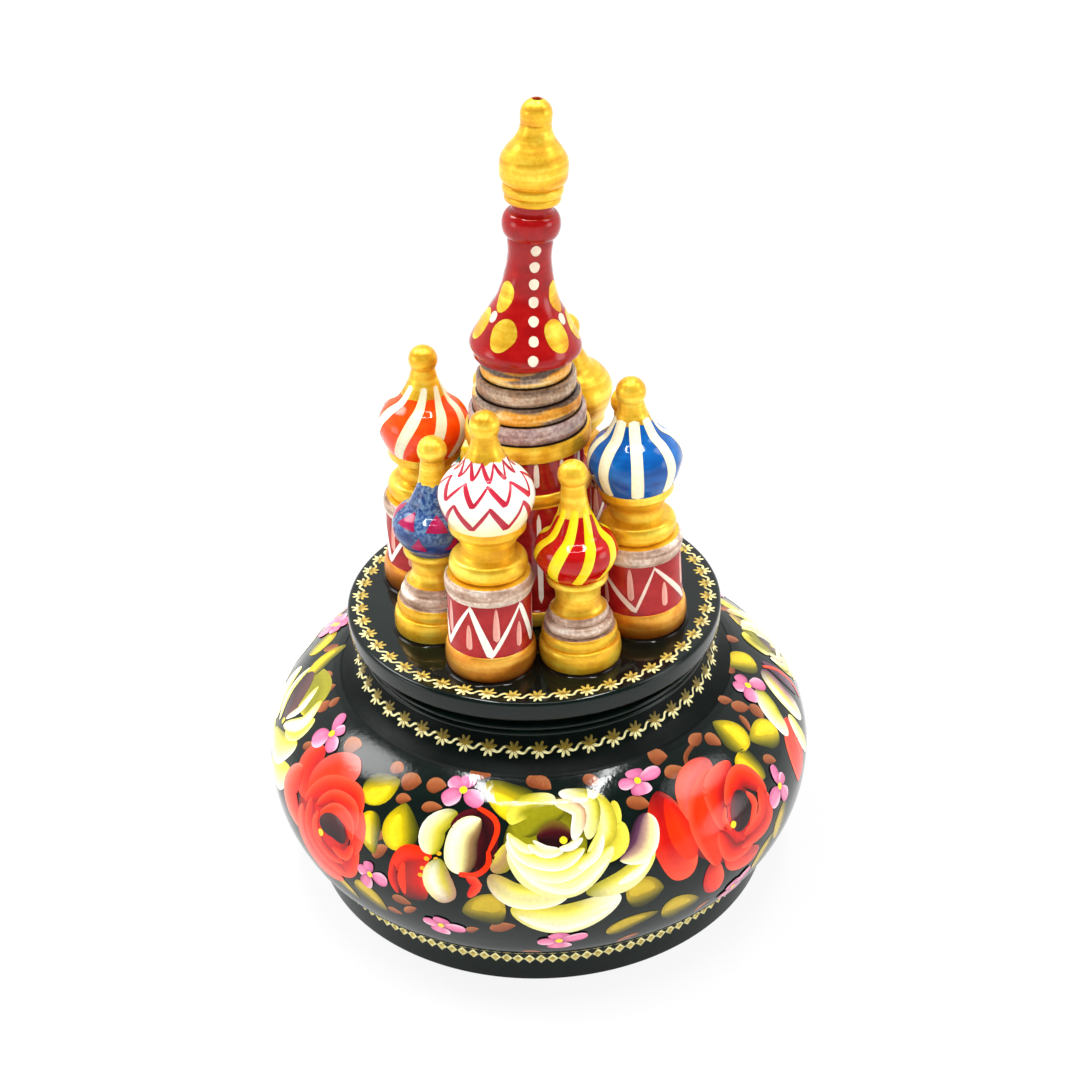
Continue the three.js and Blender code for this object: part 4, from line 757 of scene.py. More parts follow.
# Red rose, seen from the front
RED_ROSE = (
    ([(-10, 8), (-4, 0), (2, -8)], 9, [MAROON, RUBY, RUBY, MAROON]),
    ([(-14.6, 11.4), (-17, 2), (-16.6, -7.8)], 4.8,
     [VERMILION, RUBY, RUBY, SALMON], (MAROON, SALMON), (0.6, 0.45)),
    ([(-14, 9.6), (-14.8, 2.6), (-14, -4)], 2.7,
     [SCARLET, SCARLET, VERMILION, RUBY], (RUBY, None), (0.7, 0.45)),
    ([(-10.2, 1.4), (-8.2, 8.6), (0, 12.4)], 3.6, [RUBY, VERMILION, "e0574c", SALMON], (None, "c24a44")),
    ([(-9.6, -6.6), (-9.4, -11.6), (-7.6, -16)], 2.7, [RUBY, VERMILION, SALMON], (MAROON, None)),
    ([(-6.4, -7.6), (-0.6, -11.2), (4.6, -12.4)], 2.9,
     [SALMON, VERMILION, RUBY, MAROON], (RUBY, "c1433e")),
    ([(-1.6, 10.4), (-9, 3), (-8.4, -8.4)], 3.2, [SALMON, SCARLET, SCARLET, VERMILION, RUBY]),
    ([(4, 9.4), (-3.4, 6.2), (-5.4, -1.6)], 2.7, [SALMON, SCARLET, RUBY, MAROON]),
    ([(-6.6, -1.4), (-4.4, -7.4), (2.4, -8.6)], 2.2, [SALMON, VERMILION, RUBY, MAROON]),
    ([(9, -0.6), (7, -6.6), (-1.6, -7.6)], 2.0, [MAROON, RUBY, VERMILION, SALMON]),
    ([(-2.6, 2.6), (4.4, 5.6), (9.2, -0.8)], 2.4, [MAROON, RUBY, SCARLET, SALMON]),
    ([(7.6, 1.4), (6, -3.8), (-0.4, -5.4)], 1.5, [SALMON, VERMILION, RUBY], (SCARLET, None)),
    ([(-2.2, -3.6), (0.6, 0), (1.6, 3.9)], 2.9, [HEART, HEART, "3a141d", "6a1a20"]),
    ([(-3, 2.4), (-4.4, 0.4), (-3.6, -2.6)], 0.7, [SCARLET, SALMON]),
    ([(3.6, 2.4), (4.6, -1), (1.6, -4.2)], 0.9, [VERMILION, SALMON]),
    dot(-2.7, -1.7, 0.75, GOLDEN),
)

# Cream rose seen from its side, with a long heart
SIDE_CREAM = (
    ([(-6, 4.4), (2, 5), (8.6, 2.2)], 4.4, [STRAW, OLIVE, OLIVE, "a9a128"]),
    ([(5, -13.5), (12.5, -12.5), (18, -8)], 3.2, [IVORY, CREAMY, LEMON, STRAW]),
    ([(-14, -7), (-6, -12), (4, -11.5)], 3.8, [IVORY, IVORY, CREAMY, LEMON]),
    ([(0, -9.5), (8, -8.6), (14, -3)], 3.4, [IVORY, CREAMY, LEMON, OLIVE]),
    ([(-12, 0), (-9, -5), (-2, -8)], 3.0, [IVORY, IVORY, CREAMY, STRAW]),
    ([(6.6, -4.6), (11.2, -1.6), (11.2, 3.4)], 1.9, [CREAMY, LEMON, LEMON, STRAW]),
    ([(-6, 4.2), (-1, 0.6), (3.4, -4.6)], 3.2, ["2c1216", "55363a", "6b4a46"]),
    ([(-8, 3.6), (-5.4, -2), (0.6, -6.4)], 1.3, [IVORY, CREAMY, LEMON]),
    ([(4.2, -5), (9.6, 0.4), (6.8, 6.2)], 1.7, [CREAMY, IVORY, IVORY, LEMON], (None, LEMON)),
    ([(3.2, -3.8), (4.7, 1), (1.4, 6.2)], 1.1, [IVORY, IVORY, "d9c08a"], (None, LEMON)),
    dot(2.7, -4.9, 0.75, GOLDEN),
)

RED_EDGE = ("a01512", RUBY, VERMILION, SALMON)
# Red rose with two petals raised behind it and arcs falling round its heart
OPEN_ROSE = (
    ([(-10, 7), (-4, 0), (3, -6)], 8.6, [MAROON, RUBY, RUBY, MAROON]),
    ([(-11, 1.5), (-14, 7), (-12.4, 12.4)], 3.7,
     ["a8281e", RUBY, VERMILION, "e8533f"], (VERMILION, None)),
    ([(-15.6, 6), (-17.8, -1), (-11.5, -5.5)], 3.6, ["f58a76", SALMON, VERMILION, RUBY]),
    ([(-11.5, 0), (-9.8, -7.4), (-5, -11.2), (3, -10.8)], 2.7, [SALMON, "f0614b", VERMILION, RUBY]),
    ([(-10.8, 3), (-7, 9), (-0.6, 14.4)], 4.3,
     [RUBY, SCARLET, VERMILION, "e2564a"], (SCARLET, "d8665c"), (0.5, 0.4)),
    ([(-2.4, -6), (1.4, -8.2), (5.8, -6), (7, 0.4)], 2.0, [SALMON, VERMILION, RUBY, RUBY]),
    ([(3.6, 7.4), (6.4, 3.4), (6.8, -2.2)], 1.9, [RUBY, VERMILION, "e8533f"]),
    ([(-11, 1), (-5.6, 7), (1.4, 9.2), (5.4, 6.2)], 2.5, RED_EDGE),
    ([(-8.8, 3), (-7, -3.4), (-2.6, -7), (4.4, -8)], 2.3, RED_EDGE[::-1]),
    ([(-6.6, 2.4), (-2.9, 6), (2.6, 6.2), (5.8, 2.6)], 1.9, RED_EDGE),
    ([(-6.4, 0.6), (-5, -3.4), (-0.6, -5.6), (4, -5.4)], 1.4, RED_EDGE[::-1]),
    ([(-5, 1.2), (-0.9, 4.2), (3.4, 3.6), (5.4, 0.4)], 1.5, [RUBY, SCARLET, SCARLET, SALMON]),
    ([(0.4, -3.6), (4.4, -3.6), (6, -0.4)], 1.2, [SALMON, SCARLET, RUBY]),
    ([(-4.6, 0), (0, 0.9), (3.8, -0.8)], 2.4, [HEART, "34181b", "4a2a2a"]),
    ([(-5.6, 1.6), (-5.8, -1.4), (-3, -4.4)], 0.9, [SALMON, VERMILION]),
    dot(-3.5, -2.2, 0.8, GOLDEN),
)

# Bud with a wine-red heart
BUD = (
    ([(4.4, 10.6), (7.9, 5), (7, -1.6)], 2.2, [WINE, HEART, WINE]),
    ([(0.6, 9.6), (-3.3, 5.8), (-3.2, 0.4)], 2.7,
     [IVORY, CREAMY, STRAW, OLIVE], (OLIVE, None), (0.55, 0.35)),
    ([(0, 6.6), (2.3, 8.8), (4.8, 10.8)], 1.3, [HEART, WINE, WINE]),
    ([(5.6, 9), (2.9, 4.9), (3.6, -2.3)], 3.5,
     [CREAMY, IVORY, CREAMY, "96764c", "4a2c20"], PLAIN, (0.6, 0.42)),
    ([(-1, 0), (-1.2, -4.4), (1.8, -8.6)], 3.3,
     [CREAMY, IVORY, STRAW, "a87a66"], (OLIVE, "b58a74"), (0.6, 0.4)),
    ([(4.2, 11.3), (8, 9.5), (9.4, 6.8), (8.5, 2.7)], 0.55, [SCARLET, VERMILION], PLAIN, (0.15, 0.2)),
    ([(8.4, 3), (8.8, 0.2), (6.6, -2), (3.2, -2.3)], 0.6, [SCARLET, VERMILION], PLAIN, (0.2, 0.15)),
    ([(4.8, -2.8), (7, -4), (5.4, -6.9)], 1.1, [RUBY, VERMILION, SALMON]),
)

# Red tulip with yellow stamens
TULIP = (
    ([(2.8, 5), (0.9, -0.2), (1.8, -5.4)], 3.6,
     [MAROON, "b02219", RUBY, VERMILION], (None, "3a1212"), (0.4, 0.3)),
    ([(4.4, 5.2), (-1.4, 4.4), (-4.2, -0.8)], 1.6, [SCARLET, VERMILION, RUBY], PLAIN, (0.4, 0.45)),
    ([(-3.6, 1.4), (-3.6, -1.6), (-2.4, -5)], 1.1, [VERMILION, RUBY, MAROON]),
    ([(-1.4, 2.6), (-1.6, -0.8), (-0.8, -4.6)], 0.9, [SCARLET, VERMILION]),
    *(dot(x, y, 0.6, "ffb01e", 0.7)
      for x, y in ((3.4, 4.6), (5.4, 4.9), (2.9, 2.5), (2.6, 1), (5.7, 6.2))),
)

# Bud that hangs to the left: three cream lobes, a purple heart and red petals
SIDE_BUD = (
    ([(-10, -3), (-15.6, -7.4), (-17.4, -15.4)], 3.0, [SALMON, VERMILION, VERMILION, RUBY]),
    ([(-12.6, -6.6), (-12.8, -11), (-16, -15)], 1.4, [SALMON, SCARLET, RUBY]),
    ([(-8.8, -3.2), (-9.8, -8), (-8.4, -13.8)], 2.2, [IVORY, CREAMY, STRAW]),
    ([(-7.4, 6), (-12.2, 1.2), (-14.6, -4.8)], 2.7, [IVORY, CREAMY, LEMON, OLIVE], (OLIVE, IVORY)),
    ([(3, 5), (2.4, -1), (1.8, -6)], 1.9, [HEART, DUSK, DUSK]),
    ([(0, 5.2), (-4, -0.4), (-4.4, -8.2)], 3.2, [CREAMY, IVORY, LEMON, "b58a86", DUSK], (DUSK, IVORY)),
    ([(1.2, 5), (3.6, 1), (4.4, -4), (3, -8)], 0.55, [SCARLET, SALMON], PLAIN, (0.2, 0.2)),
)


def draw(strokes, paint, spot):
    for row in strokes:
        paint.stroke(spot, *row)


# The petals of three kinds of blossom: where each points, its reach and half its width
OPEN = ((150, 3.8, 1.5), (78, 3.4, 1.6), (-28, 5.2, 1.8), (222, 4.8, 1.9))
WIDE = ((88, 2.9, 2.2), (8, 6.2, 1.5), (-92, 3.5, 2.6), (180, 4.6, 1.4))
LEAN = ((200, 5.4, 2.3), (85, 5.2, 1.3), (25, 3.2, 1.4), (-65, 4.8, 1.7))


def blossom(paint, spot, petals):
    for degrees, reach, half in petals:
        c, n = cos(radians(degrees)), sin(radians(degrees))
        tone = [ROSE, PINK, PINK, BLUSH] if n < 0.5 else [ROSE, "dd76a4", PINK]
        paint.stroke(spot, [(0.4 * c, 0.4 * n), (reach / 2 * c, reach / 2 * n), (reach * c, reach * n)],
                     half, tone, ("b44f7e", None), (0.6, 0.4))
    paint.stroke(spot, *dot(0, 0, 0.8, GOLDEN))


def leaf(paint, spot, length, half, side=1):
    """A leaf with its point ahead, bright on one side. Those under the belly get darker, duller tones as
    painted shade.
    """
    glint, bright, mid, dark, deep = LEAF_TONES if spot.run > WAIST_RUN + 3 else SHADED_LEAF_TONES
    paint.stroke(spot, [(-length / 2, 0), (0, LEAF_BEND * side), (length / 2, 0)], half,
                 [deep, dark, mid, bright, bright, mid][::side], (None, dark), (0.38, 0.72))
    light = [(-0.42 * length, 0.3 * half * side), (-0.1 * length, (LEAF_BEND + 0.38 * half) * side),
             (0.26 * length, 0.24 * half * side)]
    paint.stroke(spot, light, 0.5 * half, [bright, glint, glint, bright], swell=(0.45, 0.7))


def sprig(paint, spot, length, half, stem=0.0):
    """A small brown leaf, on a stem where it has one."""
    back = -length / 2
    if stem:
        stalk = [(back - 0.9 * stem, -0.6 * stem), (back - 0.5 * stem, -0.1 * stem), (back / 2, 0)]
        paint.stroke(spot, stalk, 0.5, [CLAY_DARK, CLAY], swell=(0.3, 0.1))
    paint.stroke(spot, [(back, 0), (0, 0.3), (-back, 0)], half, [CLAY_DARK, CLAY, PEACH], swell=(0.5, 0.8))


belly_surface = Turned(belly())
WAIST_RUN = belly_surface.run_at(WAIST_Z)
UNDER, LEAVES, FLOWERS, OVER = 0.03, 0.05, 0.07, 0.24


def on_belly(turn, height, spin=0, size=1.0, flip=1, lift=FLOWERS):
    return Spot(radians(turn), WAIST_RUN + height, spin, size, flip, lift)


# Each row is an angle and a height above the waist, then the motif's own turn and sizes
LEAF_ROWS = ((-129.7, 19.9, 37, 8.6, 3.5, -1), (-120.3, 14.1, 105, 9.4, 4.1, 1),
             (-126.9, 10.6, -66, 8.6, 2.7, -1), (-183, 24.8, 130, 11, 2.6, 1),
             (-126.8, -5.4, -30, 9, 2.8, 1), (-134, -7, -25, 8, 1.8, 1), (-101.7, -0.3, 188, 9, 4, -1),
             (-97.4, 24, 150, 12, 4, 1), (-7.2, 26.2, 121, 8, 3.9, -1), (-35.7, 22.2, 92, 9, 3.6, -1),
             (-27.3, 16.2, 152, 9.8, 3.4, -1), (-36.5, 14.6, -70, 8.4, 3.1, -1),
             (-32.5, -1.6, 70, 9, 2.8, 1), (-38.6, -6, 50, 9, 2.2, 1), (-70.4, 1, 3, 8, 3.7, 1),
             (-62.4, -6.6, 0, 9, 3.3, 1), (-72.7, -6.8, 17, 11.4, 2.2, 1))
BLOSSOM_ROWS = ((-109.2, 24.3, 0, 1, OPEN), (-65.8, 23.9, 0, 0.9, WIDE), (-152.2, 21.9, 35, 1, LEAN),
                (-125.8, 1.8, 25, 0.85, OPEN), (-110.7, -6.2, -8, 0.85, WIDE),
                (-87.5, -8.6, 4, 0.95, WIDE), (-15.8, 24.3, -15, 1, OPEN), (-32.2, 6.6, 0, 0.95, LEAN),
                (-47.9, -10.1, 25, 0.9, WIDE), (158, 21, 20, 0.95, LEAN))
SPRIG_ROWS = ((-175, 24.9, 67, 3.6, 1.6), (-168.7, 25.6, 98, 3, 1.3), (-162, 25.8, 113, 3, 1.1),
              (-163, 23.3, 115, 3.4, 1.6), (-155.5, 16, 36, 3.6, 1), (-144, 23.2, 34, 4.4, 2.2),
              (-128.4, 24.3, 0, 3.2, 1.5), (-122.8, 22.9, 20, 4.4, 2.1), (-116.2, 23.8, 16, 4.2, 1.7),
              (-115.3, 19.3, 15, 4.4, 1.1), (-122.6, 19.1, 19, 3.4, 1.1), (-125.5, 10.4, 12, 3.8, 1.3),
              (-124, 7.6, 46, 4.4, 1.3), (-121, -6.6, 0, 3.6, 0.9), (-117, -4.2, 40, 4, 0.9),
              (-118.7, -2.2, 0, 4.6, 1.2), (-104.2, -6.1, 32, 3, 0.9), (-98.2, -4.3, 19, 5.6, 1.4),
              (-106.2, 28.4, 0, 4.4, 1.6), (-91.4, 27.2, -30, 4, 1.6), (-57.3, 27, -22, 4, 2.1),
              (-44.3, 26.1, 12, 4.2, 1.4, 7), (-40.9, 23.8, -67, 3.8, 1.6), (-55.8, 22.6, -3, 4.6, 1.5),
              (-90, 27, -33, 4.8, 1.7), (-77.2, 26.3, -39, 3.4, 1.4), (-67.8, 19.3, -24, 5, 1.5),
              (3.8, 27.7, -81, 3.2, 1.5), (-11.5, 28.4, 0, 3.2, 1.1), (-26, 27.3, -48, 3.2, 1.3),
              (-25, 23.8, -45, 4.4, 1.6), (-22.9, 20.4, -101, 4.2, 1.6), (-29, 21.3, -115, 4.4, 0.8),
              (-31.1, 12.3, -39, 4.2, 1.1), (-6.5, 24.2, -56, 3.2, 1.3), (-56, -11, 40, 4, 1),
              (-143, -13, -30, 4, 1), (-93, -14.6, -8, 4, 0.9), (-73, -13, 30, 5, 1.1))

# Between two roses on the far side: the angle from the sector's middle, the height above the waist, then the
# turn, length and half width
BACK_LEAVES = ((-6, 21, 30, 9, 3.2), (6, 16, -50, 9, 3.4), (-7, -6, 10, 9.5, 3), (5, -9, -25, 9, 2.3),
               (-9, 8, 70, 8, 2.8))
BACK_SPRIGS = ((2, 25.5, 60, 4.4, 1.5), (9, 23.5, -20, 4, 1.4), (-11, 25, 95, 4, 1.3), (8, -2, 40, 4, 1.3),
               (-1, -13, 10, 4.6, 1.1), (-12, -11, -20, 4, 1))
BACK_SECTORS = ((33, 1), (76, -1), (118, 1), (160, -1))
GARLAND_PIECES = ("leaves", "buds", "blossoms", "cream_front", "cream_back", "cream_side", "red_front",
                  "red_back")


def back_sector(turn, flip, paint):
    """Leaves, a bud and blossoms between two roses on the far side."""

    def at(shift, height, spin=0, size=1.0, lift=FLOWERS):
        return on_belly(turn + flip * shift, height, spin * flip, size, flip, lift)

    for shift, height, spin, length, half in BACK_LEAVES:
        leaf(paint["leaves"], at(shift, height, spin, 1, LEAVES), length, half)
    for shift, height, spin, length, half in BACK_SPRIGS:
        sprig(paint["leaves"], at(shift, height, spin, 1, UNDER), length, half)
    draw(BUD, paint["buds"], at(-1, 6, 20 * flip))
    blossom(paint["blossoms"], at(1, 22.5, 15, 1, OVER), OPEN)
    blossom(paint["blossoms"], at(-1, -8, 40, 0.95, OVER), LEAN)


def add_garland():
    paint = {name: Paint(belly_surface) for name in GARLAND_PIECES}
    for turn, height, spin, *sizes in SPRIG_ROWS:
        sprig(paint["leaves"], on_belly(turn, height, spin, lift=UNDER), *sizes)
    for turn, height, spin, *sizes in LEAF_ROWS:
        leaf(paint["leaves"], on_belly(turn, height, spin, lift=LEAVES), *sizes)
    draw(TULIP, paint["buds"], on_belly(-117, 4.8))
    draw(BUD, paint["buds"], on_belly(-109.8, 10, lift=0.115))
    draw(SIDE_BUD, paint["buds"], on_belly(-5.7, 16.1))
    for turn, height, spin, size, petals in BLOSSOM_ROWS:
        blossom(paint["blossoms"], on_belly(turn, height, spin, size, lift=OVER), petals)
    for turn, flip in BACK_SECTORS:
        back_sector(turn, flip, paint)
    draw(CREAM_ROSE, paint["cream_front"], on_belly(-87.4, 15.7))
    draw(SIDE_CREAM, paint["cream_side"], on_belly(-173.8, 16.9, lift=0.045))
    draw(CREAM_ROSE, paint["cream_side"], on_belly(9, 17, 70, 0.74, -1, 0.043))
    draw(CREAM_ROSE, paint["cream_back"], on_belly(97, 13, 30, 0.95, -1))
    draw(RED_ROSE, paint["red_front"], on_belly(-45.9, 9.1))
    draw(OPEN_ROSE, paint["red_front"], on_belly(-136.6, 6.6, lift=0.1))
    draw(RED_ROSE, paint["red_back"], on_belly(55, 8, 20))
    draw(OPEN_ROSE, paint["red_back"], on_belly(139, 7, -30, 1.0, -1))
    for name, strokes in paint.items():
        strokes.piece("garland_" + name, "base", "black_lacquer")


# Foil: rings of stars and the lozenge band

STARS, LOZENGES = 47, 136
LOZENGE_Z, LOZENGE_HALF_H = 6.5, 1.15
DISC_STARS_R, NECK_STARS_Z, FIRST_STAR = 37.4, 50.9, -90
PALE_FOIL, OLIVE_FOIL, TAN_FOIL = "f7efb0", "94781a", "d7be64"


def star(sheet, spot, pitch, inner):
    """Eight rays round a boss, and the thread that leads to the next star."""
    for i in range(8):
        turn = radians(22.5 + 45 * i)
        c, n = cos(turn), sin(turn)
        tip = 1.95 if i % 2 else 1.8
        ray = [(0.4 * c, 0.4 * n), (tip / 2 * c, tip / 2 * n), (tip * c, tip * n)]
        # Rays that point up take the darker tone inner: painted shade on the side away from the light
        tone = inner if n > 0.2 else PALE_FOIL
        sheet.stroke(spot, ray, 0.33, [tone, tone], swell=(0.12, 0.3), ridge=0.1)
        spot.lift -= LAYER
    sheet.stroke(spot, [(-1, 0), (0, 0), (1, 0)], 1.0, [inner, OLIVE_FOIL, OLIVE_FOIL, inner], ridge=0.1)
    thread = [(1.5, -0.7), (pitch / 2 - 0.3, -0.5), (pitch / 2 + 0.3, 0.3), (pitch - 1.5, 0.6)]
    sheet.stroke(spot, thread, 0.24, [PALE_FOIL, PALE_FOIL], swell=(0.05, 0.05), ridge=0.04)


def star_ring(name, surface, run, body, inner):
    sheet = Paint(surface)
    pitch = 2 * pi * float(surface.radius(run)) / STARS
    for i in range(STARS):
        turn = radians(FIRST_STAR) + i * 2 * pi / STARS
        star(sheet, Spot(turn, run, lift=0.03), pitch, inner)
    sheet.piece(name, body, "gold_paint", FOIL, follow=False)


def lozenge_band():
    """A band of raised lozenges, each a pale frame round a tan field."""
    band = Paint(Turned([(FOOT_R, FOOT_BEVEL), (FOOT_R, FOOT_H - CREASE)]))
    half_w, run = pi * FOOT_R / LOZENGES, LOZENGE_Z - FOOT_BEVEL
    corners = np.array([(1, 0), (0, 1), (-1, 0), (0, -1), (1, 0)], float) * (half_w, LOZENGE_HALF_H)
    shares = np.array([1.02, 0.78, 0.56, 0.5, 0.02])
    lifts = np.array([0.03, 0.1, 0.1, 0.04, 0.05])
    tones = np.array([linear(c) for c in (PALE_FOIL, PALE_FOIL, PALE_FOIL, TAN_FOIL, TAN_FOIL)])[:, None]
    flat = shares[:, None, None] * corners[None]
    for i in range(LOZENGES):
        turn = (i + 0.5) * 2 * pi / LOZENGES + flat[..., 0] / FOOT_R
        band.sheet(turn, run + flat[..., 1], np.repeat(lifts[:, None], 5, 1), tones)
    band.piece("lozenge_band", "base", "gold_paint", BAND_FOIL, follow=False)


# Towers and their paint

def zone_outline(zones):
    return [p for _, points in zones for p in points]


def meridian_stripes(paint, low, high, turns, half, pigments, swirl, thin):
    """Stripes down a dome, at the angles turns half way. Each falls by swirl degrees to the left."""
    share = np.linspace(0, 1, 44)
    run = high + (low - high) * share
    fade = thin + (1 - thin) * np.clip(share / 0.45, 0, 1)
    for degrees in turns:
        turn = np.radians(degrees - swirl * (share - 0.5))
        wide = half * rng.uniform(0.9, 1.12)
        paint.ribbon(turn, run, wide, pigments, (0.03, 0.05), 0.06, wobble=0.06, taper=fade)


def zigzag(paint, low, high, teeth, half, pigments, start, lift=0.05, lopsided=0.5):
    """A row of V strokes: the limb that falls to the right is thick and the one that rises is thin."""
    pitch = 2 * pi / teeth
    share = np.linspace(-0.03, 1.03, 16)
    for i in range(teeth):
        left = start + i * pitch
        valley = left + lopsided * pitch
        drop, top = (rng.uniform(-0.06, 0.06) * (high - low) for _ in range(2))
        falling = (high + top) + (low + drop - high - top) * share
        rising = (low + drop) + (high - low - drop) * share
        paint.ribbon(left + (valley - left) * share, falling, half * 1.3, pigments, (0.3, 0.06), lift)
        back = valley + (left + pitch - valley) * share
        paint.ribbon(back, rising, half * 0.72, pigments, (0.1, 0.3), lift + 0.012)


def upright(turn, start, end, steps=16):
    """The path of a stroke that runs straight up or down a surface."""
    return np.full(steps, turn), np.linspace(start, end, steps)


DROP_TONES = ["f0a898", SHELL, "f3b9aa"]


def drum_paint(paint, low, high, facing, start, lopsided, teeth, half, hang, stand, tone):
    """V strokes round a drum, with a pink drop hanging in each V and another standing between them."""
    height = high - low
    pitch = 2 * pi / teeth
    first = facing + radians(start)
    inset = 0.03 * height
    zigzag(paint, low + inset, high - inset, teeth, half, [tone, tone], first, 0.06, lopsided)
    hanging = (high - 0.02 * height, low + 0.3 * height)
    standing = (low + 0.62 * height, low + 0.1 * height)
    for i in range(teeth):
        for share, reach in ((i + lopsided + hang, hanging), (i + stand, standing)):
            paint.ribbon(*upright(first + share * pitch, *reach), 0.68, DROP_TONES, (0.55, 0.22), 0.045)


def gold_edge(paint, run, start):
    """The lower edge of a neck's gold, brushed on in soft points."""
    turn = np.linspace(0, 2 * pi, 121)
    from_start = turn - start
    wave = 0.5 * np.cos(from_start * 9) + 0.3 * np.cos(from_start * 5 + 1) + 0.2 * np.cos(from_start * 16)
    low = run - 0.45 - 0.4 * wave
    share = np.linspace(0, 1, 7)[None]
    paint.sheet(np.repeat(turn[:, None], 7, 1), low[:, None] * (1 - share) + (run + 0.3) * share,
                np.full((121, 7), 0.035), linear(GOLDEN))


YELLOW_STRIPE = ["f5cf10", "ffde1c", "ffe53a"]
CREAM_STRIPE = ["fbf3c6", "fdf8dc", "fdf6cf"]
MAGENTA = ["a0184a", "b01c58", "a3194e"]
CHERRY = ["c8324a", "b81e36"]


# Rows of V strokes on a dome: foot and top as shares of its run, number, half width, paint and first angle
DOME_ZIGZAGS = {"cream": ((0.75, 0.98, 11, 0.34, CHERRY, -10), (0.43, 0.71, 9, 0.46, CHERRY, -37),
                          (0.1, 0.42, 8, 0.56, CHERRY, -42)),
                "plum": ((0.15, 0.5, 8, 0.5, ["f3dca0", "e9c878"], 0),)}
# Stripes down a dome: angles, how far they run onto the gold, half width, paint, swirl and share at the top
DOME_STRIPES = {"crimson": (range(23, 383, 45), 1.5, 1.1, YELLOW_STRIPE, 50, 0.62),
                "blue": ((-80, -41, 3, 50, 95, 142, 188, 234), 0.8, 1.25, CREAM_STRIPE, 3, 0.8),
                "orange": ((-71, -20, 24, 64, 108, 153, 198, 243), 2.4, 1.15, CREAM_STRIPE, 46, 0.55),
                "green": (range(0, 360, 45), 1.2, 0.9, YELLOW_STRIPE, -30, 0.6)}
# Rows of seven pointed petals: share of the dome's run, first angle, height and half width
DOME_PETALS = {"indigo": ((0.42, -46, 4, 2.3), (0.17, -22, 3.2, 1.7))}


def dome_paint(name, paint, low, high, facing):
    """What is brushed on each dome, between two runs. Angles start from the one that faces the viewer."""
    span = high - low
    front = math.degrees(facing)
    for foot, top, teeth, half, tones, first in DOME_ZIGZAGS.get(name, ()):
        zigzag(paint, low + foot * span, low + top * span, teeth, half, tones, facing + radians(first))
    if name in DOME_STRIPES:
        turns, onto, *style = DOME_STRIPES[name]
        meridian_stripes(paint, low, high + onto, front + np.array(turns), *style)
    for share, first, tall, half in DOME_PETALS.get(name, ()):
        for i in range(7):
            spot = Spot(radians(front + first + i * 360 / 7), low + share * span, lift=0.04)
            path = [(0, 0), (0.1, tall / 2), (0.2, tall)]
            paint.stroke(spot, path, half, MAGENTA, swell=(0.04, 0.95))


# Each tower's name, dome, angle round the table, distance from its centre and where its neck turns gold
TOWERS = [("cream", CREAM, -110.6, 0.648, 0.84), ("crimson", CRIMSON, -68.9, 0.628, 0.755),
          ("blue", BLUE, -25.7, 0.628, 0.845), ("plum", PLUM, 22.5, 0.5985, 0.77),
          ("gold", GOLD, 67.5, 0.628, 0.84), ("green", GREEN, 112.5, 0.5985, 0.77),
          ("orange", ORANGE, 159.3, 0.621, 0.82), ("indigo", INDIGO, -152.9, 0.5885, 0.79)]
# The V strokes of each tall tower: the first one's angle, where its valley lies, their number and half
# width, where the drops hang and stand, and the paint
DRUM_PAINT = {"cream": (-28, 0.4, 5, 0.62, 0.1, -0.03, WHITE),
              "orange": (-20, 0.4, 5, 0.62, 0.1, -0.03, WHITE),
              "gold": (0, 0.4, 5, 0.62, 0.1, -0.03, WHITE),
              "blue": (-70, 0.67, 4, 0.46, -0.06, 0.15, "f3d6c8")}
DRUM_LOW, DRUM_HIGH, TALL_DOME_FOOT, SHORT_DOME_FOOT = 0.107, 0.308, 0.589, 0.448


def glue_fillet(r):
    """The bead of glue round a tower's foot."""
    inner = r - 0.6
    return [(inner, 0), (r + 0.5, 0), (r + 0.15, 0.14), (r - 0.1, 0.42), (inner, 0.42), (inner, 0)]


def add_tower(name, look, degrees, out, gold_from, tall):
    turn = radians(degrees)
    x, y = out * TABLE_R * cos(turn), out * TABLE_R * sin(turn)
    matrix = placed_at(x, y, TOP_Z, turn + pi, TOWER_LEAN)
    zones = tall_zones(look, gold_from) if tall else short_zones(look, gold_from)
    r, h, foot = (TALL_R, TALL_H, TALL_DOME_FOOT) if tall else (SHORT_R, SHORT_H, SHORT_DOME_FOOT)
    node = "tower_" + name
    slot = name + "_paint"
    add_turning(node, zones, TOWER_SIDES, matrix, TOP_Z)
    surface = Turned(zone_outline(zones), matrix)
    low, high = surface.run_at(foot * h), surface.run_at(gold_from * h)
    facing = surface.facing()
    paint = Paint(surface)
    dome_paint(name, paint, low, high, facing)
    if tall:
        drum = [surface.run_at(share * h) for share in (DRUM_LOW, DRUM_HIGH)]
        drum_paint(paint, *drum, facing, *DRUM_PAINT[name])
    if paint.count:
        paint.piece(node + "_strokes", "turntable", slot)
    if name != "gold":
        gold = Paint(surface)
        gold_edge(gold, high, facing)
        gold.piece(node + "_edge", "turntable", "gold_paint", GOLD)
    fillet = [(GLUE, glue_fillet(0.99 * r))]
    turned_piece(node + "_glue", fillet, TOWER_SIDES, "turntable", (), placed_at(x, y, TOP_Z))


def add_towers():
    for i, tower in enumerate(TOWERS):
        add_tower(*tower, tall=i % 2 == 0)


def add_centre():
    drum, stack, spire = drum_zones(), stack_zones(), [(RED, spire_outline())]
    add_turning("centre_drum", drum, CENTRE_SIDES)
    add_turning("centre_stack", stack, CENTRE_SIDES)
    lean = placed_at(0, 0, SPIRE_Z, 0, SPIRE_LEAN)
    add_turning("spire", spire, CENTRE_SIDES, lean, SPIRE_Z)
    tip = lean @ placed_at(0, 0, SPIRE_H + SEAT_GAP)
    add_turning("finial", finial_zones(), FINIAL_SIDES, tip)
    centre_drum_paint(Turned(zone_outline(drum)[1:-1]))
    spire_paint(Turned(spire_outline()[2:-1], lean))


